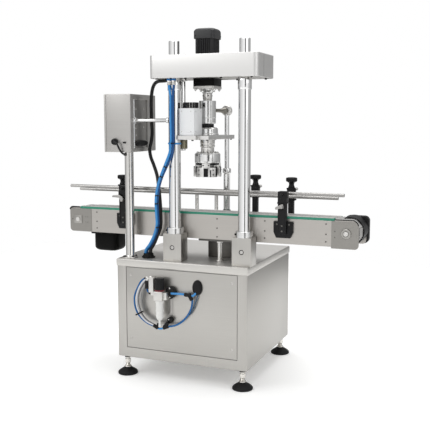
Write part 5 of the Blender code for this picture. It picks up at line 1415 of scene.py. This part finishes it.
def makeControlBox():
    right, front, back = control["right"], control["front"], control["back"]
    low, high = control["low"], control["high"]
    doorFace = control["left"] + control["door"] + 0.0003
    shell = boxForm((doorFace, right), (front, back), (low, high), 0.0022, 3)
    recess, upright = (front + 0.029, front + 0.156), (low + 0.0165, high - 0.022)
    well = boxForm((right - 0.004, right + 0.01), recess, upright, 0.0006, 1)
    hollow = boxForm((doorFace - 0.01, right - 0.007), (front + 0.003, back - 0.003),
                     (low + 0.003, high - 0.003), 0)
    setDown("controlBoxShell", carved(shell, well, hollow), boxSteel, "base", ["control_box"])
    # The recessed side panel is darker than the box: painted shade.
    panel = boxForm((right - 0.0062, right - 0.0038), (recess[0] + 0.0008, recess[1] - 0.0008),
                    (upright[0] + 0.0008, upright[1] - 0.0008), 0.0005, 1)
    setDown("controlBoxSidePanel", panel, paintedShadeSteel, "base")
    trim = boxForm((right - 0.003, right + 0.0012), (recess[0] - 0.0004, recess[0] + 0.0056), upright, 0.0006)
    setDown("controlBoxTrim", trim, whiteEnamel, "base")
    rivets = [panScrew((right - 0.0038, y, z), toRight, 0.0034, 0.0018)
              for y, z in ((front + 0.056, 1.16), (front + 0.128, 1.16), (front + 0.053, 1.079),
                           (front + 0.128, 1.083), (front + 0.056, 1.049))]
    setDown("controlBoxRivets", joined(*rivets), paleSlat, "base")
    glandY = (recess[0] + recess[1]) / 2
    flange = turnedForm([(0, 0), (0.013, 0), (0.0138, 0.004), (0.0132, 0.01), (0.011, 0.015), (0.008, 0.017),
                         (0, 0.017)], (right - 0.0038, glandY, 1.014), toRight, 56)
    squash = Matrix.Translation((0, glandY, 0)) @ Matrix.Diagonal((1, 4.2, 1,
                                                                   1)) @ Matrix.Translation((0, -glandY, 0))
    setDown("controlBoxGland", moved(flange, squash), softRubber, "base")
    y = columnPlaces["left"][1]
    brace = turnedForm([(0, 0), (0.0145, 0), (0.0145, 0.004), (control["braceRadius"], 0.005),
                        (control["braceRadius"], 0.152), (0.0115, 0.153), (0.0115, 0.166), (0, 0.166)],
                       (right - 0.0005, y, control["braceZ"]), toRight, 40)
    reach = columnPlaces["left"][0] - column["radius"] - right
    for vert in brace.verts:
        vert.co.x = min(vert.co.x, right + reach - 0.0004)
    setDown("controlBoxBrace", brace, chromeBar, "base")


def makeDoor():
    left, front, back = control["left"], control["front"], control["doorBack"]
    low, high = control["low"], control["high"]
    buttonY, buttonZ = (front + back) / 2, low + control["buttonZ"]
    door = boxForm((left, left + control["door"]), (front, back), (low, high), 0.002, 3)
    hole = barForm((left - 0.01, buttonY, buttonZ), (left + 0.02, buttonY, buttonZ), 0.0086, sides=36, ease=0)
    setDown("controlDoorPanel", carved(door, hole), boxSteel, "control_door", ["control_door"])
    seal = boxForm((left + control["door"] - 0.0006, left + control["door"] + 0.0002),
                   (front + 0.005, back - 0.005),
                   (low + 0.005, high - 0.005), 0.0002, 1)
    setDown("controlDoorSeal", carved(seal, boxForm((left, left + 0.03), (front + 0.01, back - 0.01),
                                                    (low + 0.01, high - 0.01), 0)), softRubber,
            "control_door")
    bezel = boxForm((left - 0.005, left - 0.0001), about(buttonY, 0.068), (1.1, 1.2), 0.0018)
    glass = boxForm((left - 0.0056, left - 0.0045), about(buttonY, 0.056), (1.112, 1.188), 0.0004, 1)
    setDown("touchPanelBezel", bezel, mouldedBlack, "control_door")
    setDown("touchPanelGlass", glass, panelGlass, "control_door")
    ring = ringForm((left - 0.0002, buttonY, buttonZ), toLeft, 0.0086, 0.0215, 0.0014, 48, 0.0004)
    setDown("stopButtonPlate", ring, yellowPlate, "control_door")
    for name, y, finish in (("start", buttonY - 0.05, greenPlastic), ("reset", buttonY + 0.05, glossBlack)):
        collar = ringForm((left - 0.0002, y, buttonZ), toLeft, 0.0088, 0.014, 0.0035, 40, 0.0006)
        cap = turnedForm([(0, 0), (0.0086, 0), (0.0086, 0.0055), (0.0072, 0.0064), (0, 0.0064)],
                         (left - 0.0002, y, buttonZ), toLeft, 36)
        setDown(f"{name}ButtonCollar", collar, brightSteel, "control_door")
        setDown(f"{name}ButtonCap", cap, finish, "control_door")
    mushroom = turnedForm([(0, 0), (0.008, 0), (0.008, 0.0158), (0.0185, 0.0158), (0.02, 0.018),
                           (0.02, 0.024),
                           (0.018, 0.0282), (0.012, 0.0297), (0, 0.03)],
                          (left + 0.0055, buttonY, buttonZ), toLeft, 56, 0.0006)
    setDown("stopButtonCap", mushroom, redPlastic, "stop_button", ["stop_button"], 50)
    knuckles = [barForm((left + 0.0035, back + 0.0012, z - 0.012), (left + 0.0035, back + 0.0012, z + 0.012),
                        0.0028,
                        sides=20) for z in (low + 0.03, high - 0.03)]
    setDown("doorKnuckles", joined(*knuckles), brightSteel, "control_door")


def makeBoxLead():
    start = (-0.3094, -0.2803, 1.022)
    gland = turnedForm([(0, 0), (0.0135, 0), (0.014, 0.002), (0.014, 0.008, "flute"), (0.0128, 0.011),
                        (0.0085, 0.0135),
                        (0, 0.014)], start, toFront, 64, 0.0005, flutes=(12, 0.06))
    setDown("boxLeadGland", gland, mouldedBlack, "base", (), 50)
    route = [(-0.3094, -0.29, 1.022), (-0.304, -0.296, 1.0215), (-0.296, -0.297, 1.018),
             (-0.2885, -0.296, 1.008),
             (-0.283, -0.294, 0.995), (-0.278, -0.29, 0.983), (-0.2725, -0.283, 0.973),
             (-0.266, -0.273, 0.968)]
    setDown("boxLeadCable", tubeForm(route, 0.0042, 16), cableSkin, "base", ["box_lead"], 60)
    clip = boxForm((-0.27, -0.256), (-0.285, -0.2799), (1.015, 1.022), 0.001)
    setDown("boxLeadClip", clip, mouldedBlack, "base")
    seat = ringForm((-0.265, -0.2715, 0.968), toFront, 0.0044, 0.0066, 0.0045, 28, 0.0006)
    setDown("boxLeadGrommet", seat, softRubber, "base")


poleSteel = turnedMetal("pole tube", "chrome", (0.62, 0.61, 0.59), 0.17, 260)
yellowPlate = grainedPlastic("yellow plate", "red_plastic", (0.7, 0.46, 0.02), 0.4, 400, 0.04)
greenPlastic = grainedPlastic("green cap", "red_plastic", (0.02, 0.3, 0.06), 0.25, 400, 0.04)
makePole()
makeControlBox()
makeDoor()
makeBoxLead()
print("control box ready")


# air service on the front panel
air = {"x": -0.0793, "y": -0.33, "face": -0.2953, "knobRadius": 0.02, "knobTop": 0.4568, "split": 0.4006,
       "bowlTop": 0.3608, "bowlLow": 0.277, "drainLow": 0.245, "upper": (-0.0368, 0.3934),
       "lower": (-0.0418, 0.273)}


def makeRegulator():
    x, y, face = air["x"], air["y"], air["face"]
    body = joined(boxForm(about(x, 0.0205), about(y, 0.02), (air["bowlTop"], air["split"]), 0.003, 3),
                  turnedForm([(0, 0), (0.019, 0), (0.019, 0.006), (0, 0.006)], (x, y, air["split"] - 0.0055),
                             sides=48),
                  boxForm((-0.126, -0.104), about(y, 0.01), (0.392, 0.456), 0.002),
                  boxForm((-0.118, x - 0.01), about(y, 0.008), (0.38, 0.399), 0.0012),
                  boxForm((x + 0.01, air["upper"][0] - 0.006), (y - 0.01, face),
                          (air["bowlTop"] + 0.004, air["split"] - 0.004), 0.002))
    setDown("regulatorBlock", body, castAlloy, "base", ["regulator_body"])
    upperX, upperZ = air["upper"]
    lowerX, lowerZ = air["lower"]
    oval = [(u * 0.78 + upperX * 0.22, v) for u, v in arcPoints(upperX, upperZ, 0.027, 0, 360, 40)[:-1]]
    bosses = joined(plateForm(oval, y + 0.01, face, "XZ", 0.003, 3),
                    turnedForm([(0, 0), (0.0125, 0), (0.0125, 0.017), (0.0105, 0.022), (0, 0.022)],
                               (lowerX, face, lowerZ), toFront, 48, 0.0008))
    setDown("regulatorBosses", bosses, mouldedBlack, "base")
    # Painted shade: a thin plate in darker steel laid on the panel where the shadow falls between the two
    # bosses.
    paintedShadePlate = boxForm((upperX - 0.017, upperX + 0.003), (face - 0.0016, face), (lowerZ, upperZ), 0.0008)
    setDown("regulatorPaintedShade", paintedShadePlate, paintedShadeSteel, "base")
    screws = [panScrew((upperX - 0.001, y + 0.01, upperZ + dz), toFront, 0.0034, 0.0016)
              for dz in (-0.0195, 0.0195)]
    screws += [panScrew((lowerX - 0.003, face - 0.022, lowerZ + 0.004), toFront, 0.003, 0.0014)]
    setDown("regulatorScrews", joined(*screws), brightSteel, "base")
    knob = turnedForm([(0.006, air["split"] + 0.0003), (0.0192, air["split"] + 0.0003),
                       (0.0196, 0.4075, "flute"),
                       (0.02, 0.409, "flute"), (0.02, air["knobTop"] - 0.006, "flute"),
                       (0.0188, air["knobTop"] - 0.002, "flute"), (0.016, air["knobTop"]),
                       (0, air["knobTop"])],
                      (x, y, 0), sides=144, ease=0.0005, flutes=(24, 0.05))
    setDown("regulatorGrip", knob, mouldedBlack, "regulator_knob", ["regulator_knob"], 30)
    ring = turnedForm([(0.0186, 0.4012), (0.0203, 0.4018), (0.0203, 0.4055), (0.0186, 0.4062)], (x, y, 0),
                      sides=56,
                      ease=0.0003)
    setDown("regulatorRing", ring, crimson, "regulator_knob")
    bowl = turnedForm([(0, air["bowlTop"] - 0.0003), (0.0185, air["bowlTop"] - 0.0003), (0.0185, 0.35),
                       (0.017, 0.348),
                       (0.0165, 0.32), (0.0172, 0.3185), (0.0172, 0.314), (0.0162, 0.3125), (0.0158, 0.288),
                       (0.011, air["bowlLow"]), (0.006, air["bowlLow"] - 0.001),
                       (0.0055, air["drainLow"] + 0.012),
                       (0.0062, air["drainLow"] + 0.011), (0.0062, air["drainLow"]), (0, air["drainLow"])],
                      (x, y, 0), sides=56, ease=0.0008)
    setDown("regulatorBowlShell", bowl, bowlPlastic, "base", ["regulator_bowl"], 40)


def makeAirFittings():
    x, y, face = air["x"], air["y"], air["face"]
    upperX, upperZ = air["upper"]
    lowerX, lowerZ = air["lower"]
    sleeves = [((-0.138, y, 0.4405), (-0.138, y, 0.406), 0.0092),
               ((-0.149, y, 0.447), (-0.144, y, 0.452), 0.0046),
               ((-0.129, y, 0.39), (-0.112, y, 0.385), 0.0066),
               ((x - 0.03, y, 0.25), (x - 0.009, y + 0.002, 0.238), 0.0078),
               ((x - 0.011, y + 0.002, 0.24), (x - 0.006, y + 0.002, 0.26), 0.0072),
               ((x + 0.013, y + 0.005, 0.24), (x + 0.035, y + 0.01, 0.249), 0.008),
               ((x + 0.017, y + 0.005, 0.244), (lowerX - 0.002, face - 0.026, lowerZ - 0.006), 0.008),
               ((0.031, -0.32, 0.3925), (0.059, -0.318, 0.3915), 0.0084),
               ((0.053, -0.318, 0.39), (0.063, -0.316, 0.37), 0.0086)]
    forms = [barForm(start, end, radius, sides=28, ease=0.0012) for start, end, radius in sleeves]
    setDown("airElbows", joined(*forms), mouldedBlack, "base")
    nipples = [barForm((-0.128, y, 0.448), (-0.142, y, 0.456), 0.0052, sides=28, ease=0.001),
               barForm((-0.138, y, 0.44), (-0.133, y, 0.456), 0.0056, sides=28, ease=0.001),
               barForm((-0.124, y, 0.456), (-0.114, y, 0.456), 0.005, sides=28, ease=0.001)]
    setDown("airNipples", joined(*nipples), brightSteel, "base")
    grommet = turnedForm([(0, 0), (0.0215, 0), (0.0215, 0.008), (0.019, 0.014), (0.013, 0.016), (0, 0.016)],
                         (0.0809, face, 0.4213), toFront, 56, 0.001)
    squash = Matrix.Translation((0, 0, 0.4213)) @ Matrix.Diagonal((1, 1, 1.5,
                                                                   1)) @ Matrix.Translation((0, 0, -0.4213))
    setDown("airGrommet", moved(grommet, squash), softRubber, "base")


airTubes = {
    "Outer": (0.0038, "blue", [(-0.145, -0.33, 0.45), (-0.156, -0.329, 0.444), (-0.17, -0.3275, 0.431),
                               (-0.1892, -0.324, 0.3984), (-0.201, -0.3215, 0.372), (-0.2046, -0.32, 0.3481),
                               (-0.2004, -0.318, 0.3129), (-0.183, -0.318, 0.2816), (-0.1501, -0.32, 0.2568),
                               (-0.118, -0.326, 0.2475), (-0.104, -0.329, 0.246)]),
    # painted highlight band between the outer and inner tubes
    "HighlightBand": (0.0042, "highlight", [(-0.14, -0.331, 0.448), (-0.162, -0.328, 0.428), (-0.1831, -0.325, 0.3924),
                               (-0.1945, -0.321, 0.3468), (-0.1898, -0.319, 0.3139),
                               (-0.1752, -0.319, 0.2852),
                               (-0.1476, -0.321, 0.262), (-0.115, -0.327, 0.252), (-0.103, -0.329, 0.249)]),
    "Inner": (0.003, "grey", [(-0.1344, -0.332, 0.4456), (-0.1557, -0.328, 0.4237), (-0.1769, -0.325, 0.3864),
                               (-0.1844, -0.321, 0.3455), (-0.1792, -0.319, 0.3149), (-0.167, -0.319, 0.2884),
                               (-0.1452, -0.321, 0.267), (-0.1174, -0.327, 0.2573), (-0.103, -0.329, 0.252)]),
    "Return": (0.0042, "blue", [(-0.048, -0.32, 0.246), (-0.04, -0.318, 0.248), (-0.0162, -0.314, 0.2538),
                                (0.0104, -0.311, 0.2688), (0.0373, -0.309, 0.2968), (0.0557, -0.309, 0.3308),
                                (0.0625, -0.311, 0.36), (0.062, -0.314, 0.374)]),
    "Feed": (0.0046, "sky", [(-0.03, -0.321, 0.392), (-0.015, -0.3205, 0.3925), (0.005, -0.32, 0.3932),
                             (0.033, -0.32, 0.3925)]),
    "Link": (0.0046, "sky", [(0.054, -0.317, 0.39), (0.064, -0.315, 0.388), (0.072, -0.312, 0.393),
                             (0.078, -0.306, 0.401)]),
    "Bridge": (0.004, "sky", [(-0.09, -0.328, 0.239), (-0.08, -0.328, 0.2365), (-0.066, -0.326, 0.24)]),
    "Thin": (0.0026, "dark", [(0.085, -0.304, 0.396), (0.0833, -0.305, 0.384), (0.0796, -0.306, 0.3707),
                              (0.0708, -0.307, 0.3446), (0.0612, -0.306, 0.3221), (0.048, -0.306, 0.303)]),
    "Short": (0.0038, "blue", [(-0.1383, -0.33, 0.408), (-0.137, -0.33, 0.4), (-0.133, -0.33, 0.3935),
                               (-0.126, -0.33, 0.389)])}


def makeAirTubes():
    finishes = {"blue": blueTube, "sky": skyTube, "highlight": paintedHighlightTube, "grey": greyTube, "dark": darkTube}
    for name, (radius, tone, route) in airTubes.items():
        stands = ["regulator_hoses"] if name == "Outer" else ()
        setDown(f"airTube{name}", tubeForm(route, radius, 16), finishes[tone], "base", stands, 60)
    clip = boxForm((-0.2, -0.164), (-0.325, -0.312), (0.289, 0.295), 0.001)
    turn = (Matrix.Translation((-0.182, 0, 0.292)) @ Matrix.Rotation(math.radians(-28), 4, "Y")
            @ Matrix.Translation((0.182, 0, -0.292)))
    setDown("airTubeClip", moved(clip, turn), mouldedBlack, "base")


darkTube = grainedPlastic("dark tube", "blue_hose", (0.03, 0.07, 0.12), 0.24, 120, 0.04)
crimson = grainedPlastic("crimson ring", "red_plastic", (0.2, 0.006, 0.02), 0.3, 400, 0.04)
makeRegulator()
makeAirFittings()
makeAirTubes()
print("air service ready")


# cable and air hoses between the head and the deck
services = {"cableRadius": 0.0075, "hoseRadius": 0.0053, "blendStart": 0.56, "blendEnd": 1.22,
            "hoseTwist": -75, "twistTop": 1.05, "twistLow": 0.88,
            "ties": [(-0.0378, -0.284, 1.0183, 0, 0.0124, 0.0068),
                     (-0.0714, -0.278, 0.9208, 30, 0.0092, 0.012),
                     (-0.0935, -0.273, 0.879, 28, 0.0076, 0.0124),
                     (-0.123, -0.258, 0.7961, 8, 0.0074, 0.0124),
                     (-0.127, -0.254, 0.7605, 2, 0.0074, 0.0124),
                     (-0.1211, -0.2435, 0.6587, -4, 0.0108, 0.0222)],
            "gland": (-0.181, -0.229)}
cableTop = head["plateLow"] - 0.0006
cableRoute = [(-0.1016, -0.2, cableTop), (-0.1016, -0.2, cableTop - 0.004), (-0.105, -0.2, 1.2795),
              (-0.123, -0.199, 1.2785), (-0.142, -0.197, 1.2775), (-0.16, -0.19, 1.27),
              (-0.176, -0.18, 1.253), (-0.1904, -0.165, 1.2217), (-0.2004, -0.15, 1.1749),
              (-0.2046, -0.14, 1.12), (-0.2046, -0.138, 1.0926), (-0.204, -0.136, 1.0577),
              (-0.2079, -0.139, 1.0183), (-0.2135, -0.143, 0.9876), (-0.205, -0.15, 0.9529),
              (-0.1866, -0.16, 0.9209), (-0.1616, -0.178, 0.8766), (-0.143, -0.2, 0.8266),
              (-0.1265, -0.222, 0.7728), (-0.1198, -0.229, 0.7133), (-0.1199, -0.232, 0.6572),
              (-0.1366, -0.231, 0.6169), (-0.154, -0.227, 0.5823), (-0.169, -0.226, 0.56),
              (-0.1725, -0.226, 0.5481), (-0.1725, -0.226, 0.5401)]
hoseRoute = [(-0.038, -0.284, 1.21), (-0.038, -0.284, 1.175), (-0.0382, -0.284, 1.1344),
             (-0.0376, -0.284, 1.08), (-0.0373, -0.284, 1.0319), (-0.04, -0.284, 1.004),
             (-0.0441, -0.283, 0.9781), (-0.0667, -0.279, 0.9301), (-0.0919, -0.273, 0.8822),
             (-0.1102, -0.266, 0.84), (-0.1227, -0.258, 0.7961), (-0.127, -0.254, 0.7605),
             (-0.125, -0.253, 0.7072), (-0.1245, -0.252, 0.6683), (-0.14, -0.248, 0.6214),
             (-0.166, -0.24, 0.5792), (-0.183, -0.235, 0.56), (-0.189, -0.234, 0.5481),
             (-0.189, -0.234, 0.5401)]


def spread(route, amount, start):
    # the same route for one of two tubes, side by side at the top and one before the other below
    knots = [Vector(point) for point in route]
    places = [Vector((start, head["hoseY"], head["low"] - 0.027)),
              Vector((start, head["hoseY"], head["low"] - 0.036))]
    for index, knot in enumerate(knots):
        ahead = (knots[min(index + 1, len(knots) - 1)] - knots[max(index - 1, 0)]).normalized()
        side = ahead.cross(Vector(toRear)).normalized()
        over = ahead.cross(side)
        gone = (services["twistTop"] - knot.z) / (services["twistTop"] - services["twistLow"])
        turn = math.radians(services["hoseTwist"]) * min(1, max(0, gone))
        places.append(knot + (side * math.cos(turn) + over * math.sin(turn)) * amount)
    return places


def makeServices():
    cable = setDown("mainCableFine", tubeForm(cableRoute, services["cableRadius"], 20), cableSkin, None,
                    ["main_cable"], 60)
    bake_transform(cable)
    for number, amount, finish in ((1, -0.0054, skyTube), (2, 0.0054, deepTube)):
        stands = ["air_hose"] if number == 1 else ()
        route = spread(hoseRoute, amount, head["hoseX"][number - 1])
        hose = setDown(f"airHose_{number}", tubeForm(route, services["hoseRadius"], 20), finish, None, stands,
                       60)
        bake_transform(hose)
    ties = []
    for x, y, z, tilt, wide, deep in services["ties"]:
        ring = moved(ringForm((0, 0, -0.0022), toTop, 0.86, 1, 0.0044, 28, 0),
                     Matrix.Diagonal((wide, deep, 1, 1)))
        ratchet = boxForm((-0.0025, 0.0025), (-deep - 0.003, -deep + 0.0005), (-0.0025, 0.0025), 0.0006)
        turn = Matrix.Translation((x, y, z)) @ Matrix.Rotation(math.radians(tilt), 4, "Y")
        ties.append(moved(joined(ring, ratchet), turn))
    tied = setDown("cableTies", joined(*ties), mouldedBlack, None)
    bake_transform(tied)
    x, y = columnPlaces["left"]
    clamp = joined(ringForm((x, y, 1.013), toTop, column["radius"] + 0.0004, column["radius"] + 0.003, 0.007,
                            56, 0.0008),
                   boxForm((x + 0.009, x + 0.033), (y - 0.036, y - 0.0255), (1.013, 1.02), 0.0016))
    setDown("hoseClip", clamp, skyTube, "base")


def makeDeckGland():
    x, y = services["gland"]
    low = deck["top"]
    form = joined(boxForm(about(x, 0.027), about(y, 0.013), (low, low + 0.007), 0.002),
                  boxForm(about(x, 0.013), about(y, 0.027), (low, low + 0.007), 0.002),
                  turnedForm([(0, 0), (0.0225, 0), (0.0225, 0.01, "flute"), (0.0215, 0.014, "flute"),
                              (0.0205, 0.02),
                              (0, 0.02)], (x, y, low + 0.0002), sides=64, ease=0.001, flutes=(8, 0.1)))
    setDown("deckGland", form, softRubber, "base")
    screws = [socketScrew((x + dx, y + dy, low + 0.007), toTop, 0.0028, 0.0016)
              for dx, dy in ((-0.0247, 0), (0.0247, 0), (0, -0.0247), (0, 0.0247))]
    setDown("deckGlandScrews", joined(*screws), blackScrew, "base")


makeServices()
makeDeckGland()
print("cables ready")
